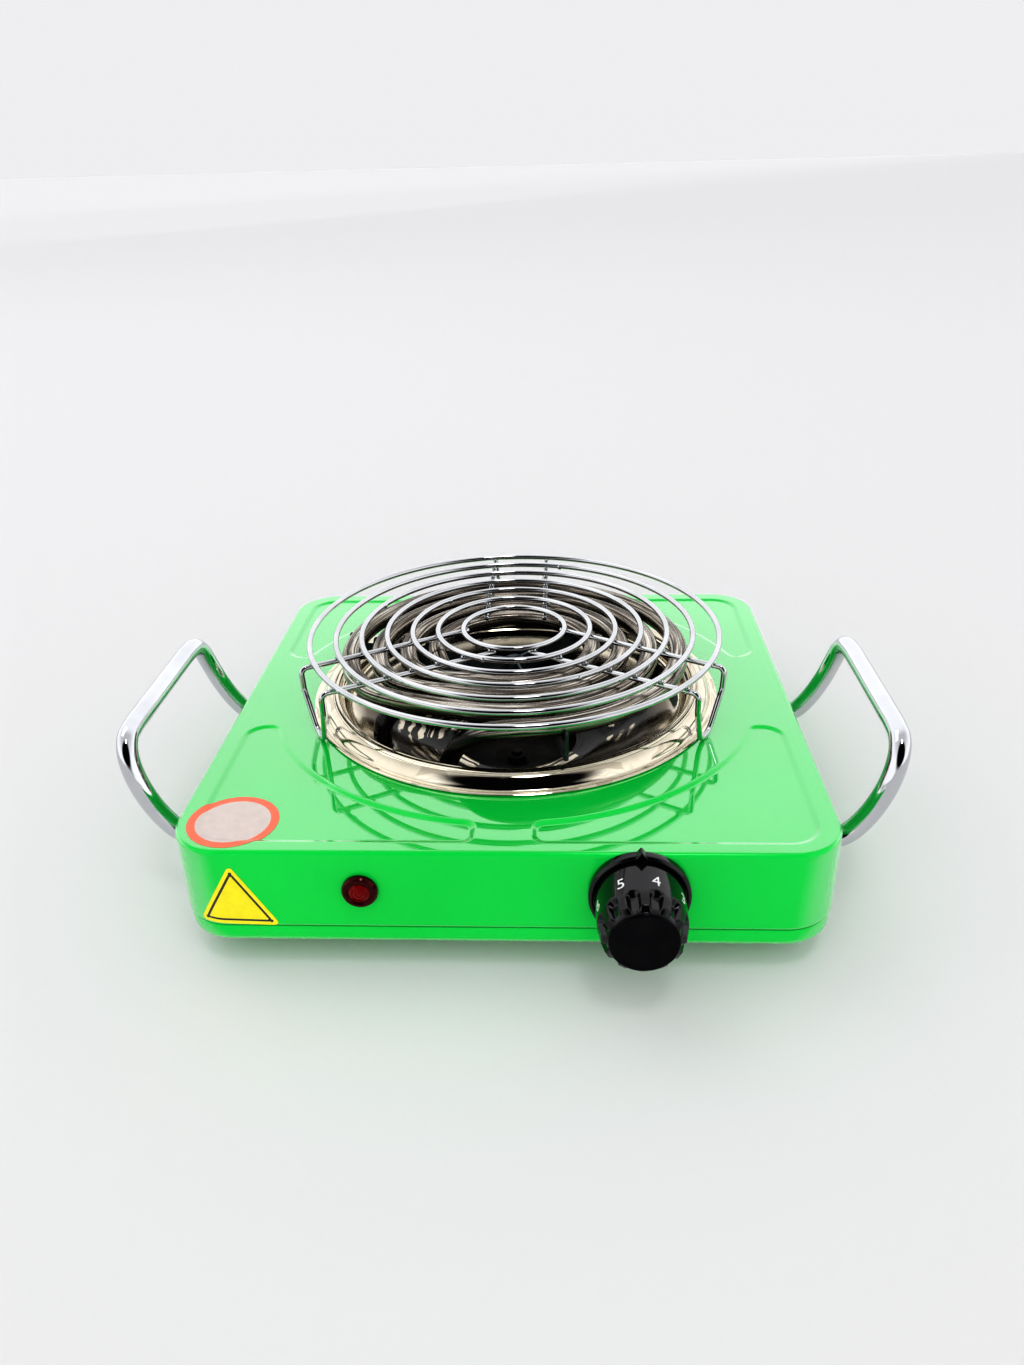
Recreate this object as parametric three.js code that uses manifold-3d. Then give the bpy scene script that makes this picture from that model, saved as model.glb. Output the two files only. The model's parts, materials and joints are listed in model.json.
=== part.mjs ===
// Single coil hot plate: a pressed steel body with a drip pan, a tubular heating coil, a lift-off
// wire grate, two tube handles, and a rotary thermostat. Millimetres, +Z up, +X to the right.
// The front, with the knob, faces -Y. The origin is on the floor, under the middle of the whole.
import * as THREE from 'three';
import { mergeVertices } from 'three/addons/utils/BufferGeometryUtils.js';
import Module from 'manifold-3d';

const wasm = await Module();
wasm.setup();

// ---------------------------------------------------------------- driving dimensions
const GAP = 0.3;                    // clearance kept between pieces that touch
const BODY_WIDTH = 230;
const BODY_DEPTH = 224;
const BODY_CORNER = 19;             // plan radius of the cover's corners
const FOOT_HEIGHT = 12;
const TRAY_VISIBLE = 8;             // height of the tray that shows under the cover
const COVER_HEIGHT = 31;
const COVER_WALL = 1.5;
const COVER_FILLET = 1.5;
const TRAY_INSET = 0.6;
const TRAY_WALL = 1.2;
const TRAY_LAP = 5;                 // how far the tray's wall reaches up inside the cover
const PANEL_DEPTH = 0.8;            // relief of the four recessed panels in the top

const BURNER_Y = 6.6;               // the burner axis lies this far behind the body's middle
const PAN_OPENING = 75.5;           // radius of the hole in the cover
const PAN_LIP = 85.4;
const PAN_HOLE = 26;

const TUBE_RADIUS = 3.8;            // heating tube
const COIL_OUTER = 68.7;            // centreline radius of the outer turn
const COIL_PITCH = 12;
const COIL_TURNS = 4;
const COIL_Z = 18.5;                // centreline height above the top face
const LEG_RADIUS = 65;              // where the coil's legs go down through the pan
const LEG_A = -112;                 // azimuth of the leg at the outer end, degrees
const LEG_B = 217;                  // azimuth of the leg at the inner end, degrees

const WIRE = 1.1;                   // radius of the wire of the grate's legs
const RING_WIRE = 1.25;             // radius of the wire of its rings
const RING_COUNT = 7;
const RING_PITCH = 10.57;
const GRATE_Z = 28.4;               // centre of the rings above the top face
const RUN_HALF = 12.5;              // half the distance between a leg wire's two runs
const LEG_AZIMUTHS = { back: 90, left: 210, right: 330 };

const HANDLE_RADIUS = 4;
const HANDLE_REACH = 141;           // grip's centreline from the middle of the body
const HANDLE_Z = -21;               // where the handle meets the side, below the top face
const HANDLE_RISE = 17.2;           // grip's centreline above the top face
const HANDLE_Y = -25.7;
const HANDLE_HALF = 47;

const KNOB_X = 45.7;
const KNOB_Z = -15.5;
const KNOB_REACH = 25.4;            // knob's face in front of the cover
const BEZEL_RADIUS = 17.15;
const SHAFT_RADIUS = 3;
const LAMP_X = -48.3;
const LAMP_Z = -15.2;
const GLAND_X = -72;
const GLAND_Z = -16;
const GLAND_REACH = 4;              // gland's collar behind the cover

const TRAY_Z = FOOT_HEIGHT;
const COVER_Z = TRAY_Z + TRAY_VISIBLE;
const TOP = COVER_Z + COVER_HEIGHT;
const FRONT = -BODY_DEPTH / 2;
const BACK = BODY_DEPTH / 2;
const SIDE = BODY_WIDTH / 2;
const TRAY_FLOOR = TRAY_Z + TRAY_WALL;
const FAR = 400;                    // longer than the object, for cutting tools

// ---------------------------------------------------------------- materials
const paint = (color, roughness, metalness) =>
  new THREE.MeshStandardMaterial({ color, roughness, metalness });
const GREEN = paint(0x12c848, 0.25, 0.0);
const CHROME = paint(0xd8dade, 0.12, 1.0);
const STAINLESS = paint(0xc9c2b4, 0.2, 1.0);
const COIL_STEEL = paint(0x77716a, 0.45, 0.9);
const DARK_STEEL = paint(0x3c4648, 0.45, 0.9);
const ZINC = paint(0xa9adb0, 0.4, 0.9);
const BRASS = paint(0xc2a25a, 0.35, 1.0);
const COPPER = paint(0xb87a4a, 0.35, 1.0);
const BLACK_PLASTIC = paint(0x0b0b0c, 0.18, 0.0);
const RED_LENS = paint(0xa80f12, 0.1, 0.0);
const RUBBER = paint(0x17181a, 0.85, 0.0);
const CERAMIC = paint(0xe9e4d8, 0.6, 0.0);
const LABEL_WHITE = paint(0xf6f2ee, 0.5, 0.0);
const LABEL_YELLOW = paint(0xf2dc12, 0.5, 0.0);
const WIRE_RED = paint(0xb3201c, 0.6, 0.0);
const WIRE_BLUE = paint(0x2457a8, 0.6, 0.0);
const WIRE_EARTH = paint(0x7fa01e, 0.6, 0.0);

// ---------------------------------------------------------------- geometry helpers
const radians = (degrees) => (degrees * Math.PI) / 180;

// A closed three.js geometry as a solid, turned outside out if its faces point inwards.
function solid(geometry) {
  const bare = new THREE.BufferGeometry();
  bare.setAttribute('position', geometry.getAttribute('position'));
  if (geometry.index) bare.setIndex(geometry.index);
  const merged = mergeVertices(bare, 1e-4);
  const vertices = Float32Array.from(merged.getAttribute('position').array);
  const triangles = [];
  const source = merged.index.array;
  for (let i = 0; i < source.length; i += 3) {
    const [a, b, c] = [source[i], source[i + 1], source[i + 2]];
    if (a !== b && b !== c && c !== a) triangles.push(a, b, c);
  }
  if (signedVolume(vertices, triangles) < 0) {
    for (let i = 0; i < triangles.length; i += 3) {
      [triangles[i], triangles[i + 1]] = [triangles[i + 1], triangles[i]];
    }
  }
  const triVerts = Uint32Array.from(triangles);
  return new wasm.Manifold(new wasm.Mesh({ numProp: 3, vertProperties: vertices, triVerts }));
}

function signedVolume(vertices, triangles) {
  const corner = (i) => new THREE.Vector3().fromArray(vertices, triangles[i] * 3);
  let volume = 0;
  for (let i = 0; i < triangles.length; i += 3) {
    volume += corner(i).dot(corner(i + 1).cross(corner(i + 2))) / 6;
  }
  return volume;
}

function toGeometry(manifold) {
  const mesh = manifold.getMesh();
  const geometry = new THREE.BufferGeometry();
  const positions = new Float32Array(mesh.numVert * 3);
  for (let i = 0; i < mesh.numVert; i++) {
    for (let k = 0; k < 3; k++) positions[i * 3 + k] = mesh.vertProperties[i * mesh.numProp + k];
  }
  geometry.setAttribute('position', new THREE.BufferAttribute(positions, 3));
  geometry.setIndex(Array.from(mesh.triVerts));
  geometry.computeVertexNormals();
  return geometry;
}

// Joins the first solid with the others and gives the geometry.
const joined = (first, ...others) => others.reduce((sum, other) => sum.add(other), first);

// Rounded rectangle between two corners.
function roundedRect(x0, y0, x1, y1, r) {
  const shape = new THREE.Shape();
  shape.moveTo(x0 + r, y0);
  shape.lineTo(x1 - r, y0);
  shape.absarc(x1 - r, y0 + r, r, -Math.PI / 2, 0);
  shape.lineTo(x1, y1 - r);
  shape.absarc(x1 - r, y1 - r, r, 0, Math.PI / 2);
  shape.lineTo(x0 + r, y1);
  shape.absarc(x0 + r, y1 - r, r, Math.PI / 2, Math.PI);
  shape.lineTo(x0, y0 + r);
  shape.absarc(x0 + r, y0 + r, r, Math.PI, Math.PI * 1.5);
  return shape;
}

// Upright prism of a shape from z0 to z1.
function prism(shape, z0, z1, curveSegments = 6) {
  const options = { depth: z1 - z0, bevelEnabled: false, curveSegments };
  return solid(new THREE.ExtrudeGeometry(shape, options).translate(0, 0, z0));
}

// Plan of the body shrunk by an inset.
function bodyPlan(inset) {
  const [x, y] = [SIDE - inset, BACK - inset];
  return roundedRect(-x, -y, x, y, BODY_CORNER - inset);
}

function box(x0, x1, y0, y1, z0, z1) {
  const size = new THREE.BoxGeometry(x1 - x0, y1 - y0, z1 - z0);
  return solid(size.translate((x0 + x1) / 2, (y0 + y1) / 2, (z0 + z1) / 2));
}

// Turned solid about Z from [radius, z] pairs; the profile closes on itself or on the axis.
function turned(profile, segments = 24) {
  const points = profile.map(([r, z]) => new THREE.Vector2(r, z));
  if (profile[0][0] > 0) points.push(points[0].clone());
  return solid(new THREE.LatheGeometry(points, segments).rotateX(Math.PI / 2));
}

// Plain upright cylinder from z0 to z1.
const rod = (r, z0, z1, segments = 16) => turned([[0, z0], [r, z0], [r, z1], [0, z1]], segments);

// Six-sided nut with a round hole.
const hexNut = (hole, corner, z0, z1) => rod(corner, z0, z1, 6).subtract(rod(hole, z0 - 1, z1 + 1, 14));

// Turns a solid made about Z so that its axis lies along Y, its +Z end pointing to the front.
const facingFront = (manifold) => manifold.rotate([90, 0, 0]);

// Turns a solid made about Z so that its axis lies along X, its +Z end pointing to +X.
const facingRight = (manifold) => manifold.rotate([0, 90, 0]);

// Round bar along a smooth curve through points.
function bar(points, radius, sides, steps) {
  const section = [];
  for (let i = 0; i < sides; i++) {
    const a = (i / sides) * 2 * Math.PI;
    section.push(new THREE.Vector2(radius * Math.cos(a), radius * Math.sin(a)));
  }
  const curve = new THREE.CatmullRomCurve3(points, false, 'centripetal');
  const options = { steps, extrudePath: curve, curveSegments: 1 };
  return solid(new THREE.ExtrudeGeometry(new THREE.Shape(section), options));
}

const vector = (x, y, z) => new THREE.Vector3(x, y, z);
const polar = (r, degrees, z) =>
  vector(r * Math.cos(radians(degrees)), r * Math.sin(radians(degrees)), z);

const object = new THREE.Group();
const body = new THREE.Group();         // origin on the floor under the body's middle
const burner = new THREE.Group();       // origin on the top face, on the burner axis
body.position.y = (KNOB_REACH - GLAND_REACH) / 2;
burner.position.set(0, BURNER_Y, TOP);
object.add(body);
body.add(burner);

function add(parent, name, manifold, material) {
  const mesh = new THREE.Mesh(toGeometry(manifold), material);
  mesh.name = name;
  parent.add(mesh);
}

// ---------------------------------------------------------------- body: cover and tray
const SCREW_X = 98;                     // corner screws of the tray
const SCREW_Y = 94;
const TAB_Z = 30;
const TAB_HALF = 6;
const SCREW_HOLE = 1.9;
const CORNERS = [[-1, -1, 'front_left'], [1, -1, 'front_right'],
  [-1, 1, 'back_left'], [1, 1, 'back_right']];
const PANEL_NEAR = 9.4;                 // the front and back panels run between these distances in X
const PANEL_FAR = 108;
const PANEL_ARC = 100;                  // and stop at this distance from the burner axis
const PANEL_FRONT_EDGE = 5.8;           // from the front face
const PANEL_BACK_EDGE = 6.6;            // from the back face
const PANEL_BACK_START = 36.3;          // from the middle of the body
const HANDLE_HOLE = 2.3;
const SHAFT_HOLE = 5.1;
const LAMP_HOLE = 5;
const GLAND_HOLE = 6;

// Recess of one top panel, on the side sx, between two distances from the middle in Y.
function topPanel(sx, y0, y1) {
  const [a, b] = sx < 0 ? [-PANEL_FAR, -PANEL_NEAR] : [PANEL_NEAR, PANEL_FAR];
  const plate = prism(roundedRect(a, y0, b, y1, 9), TOP - PANEL_DEPTH, TOP + 5, 3);
  return plate.subtract(rod(PANEL_ARC, TOP - 5, TOP + 6, 36).translate([0, BURNER_Y, 0]));
}

// Bracket inside a corner of the cover, which takes a tray screw.
function coverTab(sx, sy) {
  const [x, y] = [sx * SCREW_X, sy * SCREW_Y];
  const reach = sx * (SIDE - COVER_WALL / 2);
  const near = x - sx * TAB_HALF;
  const [x0, x1] = [Math.min(near, reach), Math.max(near, reach)];
  const shelf = box(x0, x1, y - TAB_HALF, y + TAB_HALF, TAB_Z, TAB_Z + COVER_WALL);
  return shelf.subtract(rod(SCREW_HOLE, TAB_Z - 1, TAB_Z + 3, 10).translate([x, y, 0]));
}

function topCover() {
  const f = COVER_FILLET;
  const options = {
    depth: COVER_HEIGHT, bevelEnabled: true, bevelThickness: f, bevelSize: f, bevelOffset: -f,
    bevelSegments: 2, curveSegments: 4,
  };
  const block = new THREE.ExtrudeGeometry(bodyPlan(0), options).translate(0, 0, COVER_Z - f);
  let shell = solid(block);
  shell = shell.subtract(box(-FAR, FAR, -FAR, FAR, -FAR, COVER_Z));
  shell = shell.subtract(prism(bodyPlan(COVER_WALL), COVER_Z - 1, TOP - COVER_WALL, 4));
  shell = shell.subtract(rod(PAN_OPENING, TOP - 5, TOP + 5, 40).translate([0, BURNER_Y, 0]));
  for (const sx of [-1, 1]) {
    shell = shell.subtract(topPanel(sx, FRONT + PANEL_FRONT_EDGE, HANDLE_Y));
    shell = shell.subtract(topPanel(sx, PANEL_BACK_START, BACK - PANEL_BACK_EDGE));
  }
  for (const [sx, sy] of CORNERS) shell = shell.add(coverTab(sx, sy));
  const frontHole = (r, x, z) => facingFront(rod(r, -5, 5, 20)).translate([x, FRONT, TOP + z]);
  shell = shell.subtract(frontHole(SHAFT_HOLE, KNOB_X, KNOB_Z));
  shell = shell.subtract(frontHole(LAMP_HOLE, LAMP_X, LAMP_Z));
  const backHole = facingFront(rod(GLAND_HOLE, -5, 5, 20));
  shell = shell.subtract(backHole.translate([GLAND_X, BACK, TOP + GLAND_Z]));
  for (const y of [HANDLE_Y - HANDLE_HALF, HANDLE_Y + HANDLE_HALF]) {
    const across = facingRight(rod(HANDLE_HOLE, -FAR, FAR, 10));
    shell = shell.subtract(across.translate([0, y, TOP + HANDLE_Z]));
  }
  add(body, 'top_cover', shell, GREEN);
}

const FOOT_X = 80;
const FOOT_Y = 78;
const FOOT_HOLE = 2.3;
const TRAY_FILLET = 2.5;
const JOGGLE = 2.4;                     // the tray's wall steps in under the cover's edge
const JOGGLE_Z = COVER_Z - 0.8;
const SHIELD_HOLE = 2.6;
const SLOT_COUNT = 5;
const SLOT_PITCH = 12;
const SLOT_HALF = [2, 12];              // half its width and half its length
const SLOT_Y = 62;

// Slots in the floor that let air in under the heat shield.
function ventSlots() {
  const slots = [];
  for (const side of [-1, 1]) {
    for (let i = 0; i < SLOT_COUNT; i++) {
      const x = (i - (SLOT_COUNT - 1) / 2) * SLOT_PITCH;
      const y = side * SLOT_Y;
      const [dx, dy] = SLOT_HALF;
      slots.push(box(x - dx, x + dx, y - dy, y + dy, TRAY_Z - 1, TRAY_FLOOR + 1));
    }
  }
  return slots;
}

function bottomTray() {
  const r = TRAY_FILLET;
  const top = COVER_Z + TRAY_LAP;
  const options = {
    depth: top - TRAY_Z, bevelEnabled: true, bevelThickness: r, bevelSize: r, bevelOffset: -r,
    bevelSegments: 2, curveSegments: 4,
  };
  const block = new THREE.ExtrudeGeometry(bodyPlan(TRAY_INSET), options);
  let tray = solid(block.translate(0, 0, TRAY_Z + r));
  tray = tray.subtract(box(-FAR, FAR, -FAR, FAR, top, FAR));
  const lap = TRAY_INSET + JOGGLE;
  const waste = prism(bodyPlan(TRAY_INSET - 1), JOGGLE_Z, top + 5, 4);
  tray = tray.subtract(waste.subtract(prism(bodyPlan(lap), JOGGLE_Z - 1, top + 6, 4)));
  tray = tray.subtract(prism(bodyPlan(TRAY_INSET + TRAY_WALL), TRAY_FLOOR, JOGGLE_Z - TRAY_WALL, 4));
  tray = tray.subtract(prism(bodyPlan(lap + TRAY_WALL), TRAY_FLOOR, top + 5, 4));
  const boss = turned([[0, TRAY_Z], [6.4, TRAY_Z], [5.6, TAB_Z - GAP], [0, TAB_Z - GAP]], 10);
  const well = turned([[0, TRAY_Z - 1], [5.2, TRAY_Z - 1], [4.6, TAB_Z - 2], [0, TAB_Z - 2]], 10);
  const hole = rod(SCREW_HOLE, TRAY_Z, TAB_Z + 1, 8);
  for (const [sx, sy] of CORNERS) {
    const at = [sx * SCREW_X, sy * SCREW_Y, 0];
    tray = tray.add(boss.translate(at)).subtract(well.translate(at)).subtract(hole.translate(at));
    tray = tray.subtract(rod(FOOT_HOLE, 0, 20, 10).translate([sx * FOOT_X, sy * FOOT_Y, 0]));
  }
  tray = tray.subtract(rod(SHIELD_HOLE, 0, 20, 12).translate([0, BURNER_Y, 0]));
  for (const slot of ventSlots()) tray = tray.subtract(slot);
  add(body, 'bottom_tray', tray, GREEN);
}

// Push-in rubber foot, and the screw beside it that holds the tray to the cover.
function feetAndScrews() {
  const under = TRAY_Z - GAP;
  const above = TRAY_FLOOR + GAP;
  const foot = turned([[0, 0], [8, 0], [8.8, 1], [9.6, under], [1.9, under], [1.9, above], [3.3, above],
    [2.2, above + 2], [0, above + 2]], 14);
  const head = TAB_Z - 2 - GAP;
  const screw = turned([[0, head - 2], [2.4, head - 2], [3.4, head - 1], [3.4, head], [1.5, head],
    [1.5, TAB_Z + 6], [0, TAB_Z + 6.8]], 12);
  for (const [sx, sy, place] of CORNERS) {
    add(body, `foot_${place}`, foot.translate([sx * FOOT_X, sy * FOOT_Y, 0]), RUBBER);
    add(body, `tray_screw_${place}`, screw.translate([sx * SCREW_X, sy * SCREW_Y, 0]), ZINC);
  }
}

// ---------------------------------------------------------------- burner: pan, coil and supports
function dripPan() {
  const face = [[85.4, 1.2], [82.8, 1.8], [80.8, 4.4], [78.6, 5.9], [76.2, 6.2], [74.6, 5.2],
    [71.6, -2], [67, -6.2], [58, -12.6], [46, -19], [36, -22.6], [PAN_HOLE, -24]];
  const back = [[PAN_HOLE, -24.9], [36.2, -23.5], [46.5, -19.9], [58.6, -13.4], [67.6, -7], [72.4, -2.5],
    [75.2, 4.3], [76.4, 5.3], [78.3, 5], [80.2, 3.8], [82.1, 1], [PAN_LIP, 0.35]];
  let pan = turned([...face, ...back].reverse(), 36);
  const lug = box(72.3, 80, -4, 4, -2.8, -1.95);
  for (const azimuth of [30, 150, 270]) pan = pan.add(lug.rotate([0, 0, azimuth]));
  for (const azimuth of [LEG_A, LEG_B]) {
    const at = polar(LEG_RADIUS, azimuth, 0).toArray();
    pan = pan.subtract(rod(LEG_HOLE, -20, 3, 16).translate(at));
  }
  add(burner, 'drip_pan', pan, STAINLESS);
}

// Centreline of the coil: up the outer leg, round the turns, then under them and down the other leg.
function coilPoints() {
  const start = [[LEG_RADIUS, LEG_A, -24], [LEG_RADIUS, LEG_A, -14], [LEG_RADIUS, LEG_A, -5],
    [65.8, -109.6, 3], [67, -105.5, 10], [68.3, -98, 16.2]];
  const points = start.map(([r, a, z]) => polar(r, a, z));
  const jogStart = 205;
  const jogEnd = 360 + LEG_A + 3;
  for (let turn = 0; turn < COIL_TURNS; turn++) {
    const r = COIL_OUTER - turn * COIL_PITCH;
    const last = turn === COIL_TURNS - 1;
    const end = last ? 185 : jogStart;
    const first = turn === 0 ? -88 : jogEnd - 360 + 7;
    for (let a = first; a < end; a += 13) points.push(polar(r, a, COIL_Z));
    if (last) break;
    for (let i = 0; i <= 4; i++) {
      const t = i / 4;
      const eased = t * t * (3 - 2 * t);
      points.push(polar(r - COIL_PITCH * eased, jogStart + (jogEnd - jogStart) * t, COIL_Z));
    }
  }
  const tail = [[32.5, 192, 18.1], [31.5, 202, 15], [31.5, 211, 11.8], [34.5, 219, 10.3],
    [41, 222, 10.2], [50, 220.5, 10.2], [58.5, 218.5, 9], [63.6, 217.3, 4.5], [LEG_RADIUS, LEG_B, -5],
    [LEG_RADIUS, LEG_B, -14], [LEG_RADIUS, LEG_B, -24]];
  return [...points, ...tail.map(([r, a, z]) => polar(r, a, z))];
}

const STUD_END = -32;
const STUD_RADIUS = 1.8;
const LEG_HOLE = 6;
const ARM_AZIMUTHS = [-73, 47, 167];
const ARM_THICK = 1.2;

function heatingCoil() {
  let coil = bar(coilPoints(), TUBE_RADIUS, 6, 150);
  for (const azimuth of [LEG_A, LEG_B]) {
    const at = polar(LEG_RADIUS, azimuth, 0).toArray();
    coil = coil.add(rod(STUD_RADIUS, STUD_END, -23, 10).translate(at));
  }
  add(burner, 'heating_coil', coil, COIL_STEEL);
}

// Ceramic bush in the pan, and the nut that holds the wires, on each leg of the coil.
function coilTerminals() {
  const bush = turned([[4.25, -17], [5.7, -17], [5.7, -6], [4.25, -6]], 14);
  const nut = hexNut(2.2, 4.2, -30.4, -27.2);
  for (const [place, azimuth] of [['front', LEG_A], ['left', LEG_B]]) {
    const at = polar(LEG_RADIUS, azimuth, 0).toArray();
    add(burner, `coil_bush_${place}`, bush.translate(at), CERAMIC);
    add(burner, `terminal_nut_${place}`, nut.translate(at), BRASS);
  }
}

// Three upright blades that carry the coil and stand on the pan's rim.
function coilSupport() {
  const outline = new THREE.Shape();
  const top = COIL_Z - TUBE_RADIUS - 0.4;
  const profile = [[0, 6], [46, 6], [56, 9.5], [72.4, 5.6], [75, 6.9], [75.4, 21], [73.6, 21],
    [73.3, top], [0, top]];
  outline.setFromPoints(profile.map(([r, z]) => new THREE.Vector2(r, z)));
  const options = { depth: ARM_THICK, bevelEnabled: false };
  const plate = new THREE.ExtrudeGeometry(outline, options);
  const blade = solid(plate.translate(0, 0, -ARM_THICK / 2).rotateX(Math.PI / 2));
  const arms = ARM_AZIMUTHS.map((azimuth) => blade.rotate([0, 0, azimuth]));
  add(burner, 'coil_support', joined(rod(4, 6, top, 12), ...arms), DARK_STEEL);
}

// Dish under the pan that keeps heat off the tray, on a bolt through the tray's floor.
function heatShield() {
  const floor = TRAY_FLOOR - TOP;
  const z = floor + 2.6;
  const seat = floor + GAP;
  const shield = turned([[2.6, seat], [6, seat], [10, z], [46, z], [50, z + 3], [50, z + 3.9],
    [45.6, z + 0.9], [9.7, z + 0.9], [5.7, seat + 0.9], [2.6, seat + 0.9]], 24);
  const head = floor - TRAY_WALL - GAP;
  const bolt = turned([[0, head - 2], [3.6, head - 2], [4.4, head - 1], [4.4, head], [2.1, head],
    [2.1, seat + 6], [0, seat + 6]], 14);
  const nut = hexNut(2.5, 4.8, seat + 1.2, seat + 4.4);
  add(burner, 'heat_shield', shield, DARK_STEEL);
  add(burner, 'shield_bolt', bolt, ZINC);
  add(burner, 'shield_nut', nut, ZINC);
}

// ---------------------------------------------------------------- wire grate
function grateRings() {
  for (let i = 1; i <= RING_COUNT; i++) {
    const ring = new THREE.TorusGeometry((i + 1) * RING_PITCH, RING_WIRE, 5, 20 + 2 * i);
    add(burner, `grate_ring_${i}`, solid(ring.translate(0, 0, GRATE_Z)), CHROME);
  }
}

// One wire per leg: two runs under the rings, both bent down and brought together in a rounded foot.
function grateLegs() {
  const run = GRATE_Z - WIRE - RING_WIRE - GAP;
  const half = [[15.5, RUN_HALF, run], [50, RUN_HALF, run], [83, RUN_HALF, run], [87, RUN_HALF, run - 0.7],
    [88.7, 12.1, run - 3.2], [88.5, 11.4, 18], [88.1, 9.9, 13], [87.6, 6.9, 7], [87.25, 5, 3.4],
    [87.1, 2.9, 1.75]];
  const foot = [[87.1, 0, 1.42]];
  const other = half.map(([u, v, z]) => [u, -v, z]).reverse();
  const points = [...half, ...foot, ...other].map(([u, v, z]) => vector(u, v, z));
  const wire = bar(points, WIRE, 5, 46);
  for (const [place, azimuth] of Object.entries(LEG_AZIMUTHS)) {
    add(burner, `grate_leg_${place}`, wire.rotate([0, 0, azimuth]), CHROME);
  }
}

// ---------------------------------------------------------------- handles
const THREAD_DEPTH = 3.6;
const SCREW_SEAT = SIDE - COVER_WALL - GAP;   // the heads stand inside the cover's wall

function handles() {
  const profile = [[SIDE + GAP, HANDLE_Z], [119, HANDLE_Z], [124.3, -18.8], [129.6, -12.6]];
  const y0 = HANDLE_HALF;
  const leg = profile.map(([x, z]) => vector(x, y0, z));
  const bend = [vector(134.2, y0 - 0.2, -4), vector(137.4, y0 - 1, 5), vector(139.2, y0 - 3.2, 12.4),
    vector(140.2, y0 - 7.6, 16.3), vector(140.8, y0 - 15, HANDLE_RISE),
    vector(HANDLE_REACH, y0 - 27, HANDLE_RISE)];
  const near = [...leg, ...bend];
  const mirrored = near.map((p) => vector(p.x, -p.y, p.z)).reverse();
  const path = [...near, vector(HANDLE_REACH, 0, HANDLE_RISE), ...mirrored];
  let grip = bar(path, HANDLE_RADIUS, 8, 30);
  const thread = facingRight(rod(HANDLE_HOLE, SIDE - 1, SIDE + THREAD_DEPTH, 10));
  for (const y of [-y0, y0]) grip = grip.subtract(thread.translate([0, y, HANDLE_Z]));
  const screw = facingRight(turned([[0, SCREW_SEAT - 4.6], [3.2, SCREW_SEAT - 4.6], [4, SCREW_SEAT - 3.4],
    [4, SCREW_SEAT], [1.9, SCREW_SEAT], [1.9, SIDE + 3], [0, SIDE + 3]], 12));
  for (const [side, turn] of [['right', 0], ['left', 180]]) {
    const place = (piece) => piece.rotate([0, 0, turn]).translate([0, HANDLE_Y, TOP]);
    add(body, `handle_${side}`, place(grip), CHROME);
    for (const [end, y] of [['a', -y0], ['b', y0]]) {
      add(body, `handle_screw_${side}_${end}`, place(screw.translate([0, y, HANDLE_Z])), ZINC);
    }
  }
}

// ---------------------------------------------------------------- knob, thermostat and lamp
// Pieces below are turned about an axis that points forward from the cover's front face.
const forward = (manifold, x, z) => facingFront(manifold).translate([x, FRONT, TOP + z]);

const KNOB_RIBS = 12;
const NIB_TIP = 18.9;                    // the pointer's tip, above the knob's axis

function knob() {
  const bore = SHAFT_RADIUS + 0.35;
  const reach = KNOB_REACH;
  const profile = [[bore, 4.2], [15.2, 4.2], [14.8, 16.5], [12.4, 19], [12, reach - 0.9],
    [11.2, reach], [0, reach], [0, 20], [bore, 20]];
  let grip = turned(profile, 24);
  for (let i = 0; i < KNOB_RIBS; i++) {
    const rib = box(11.6, 14.2, -1.4, 1.4, 15, 23.6);
    grip = grip.add(rib.rotate([0, 0, (i * 360) / KNOB_RIBS]));
  }
  add(body, 'knob', forward(grip, KNOB_X, KNOB_Z), BLACK_PLASTIC);

  const tip = [[-3, 16], [3, 16], [0.6, NIB_TIP], [-0.6, NIB_TIP]];
  const nib = new THREE.Shape(tip.map(([x, y]) => new THREE.Vector2(x, y)));
  const ring = [[8.8, GAP], [BEZEL_RADIUS, GAP], [BEZEL_RADIUS, 3], [16.2, 3.8], [8.8, 3.8]];
  const bezel = turned(ring, 28).add(prism(nib, GAP, 3.6));
  add(body, 'knob_bezel', forward(bezel, KNOB_X, KNOB_Z), BLACK_PLASTIC);
}

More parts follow.
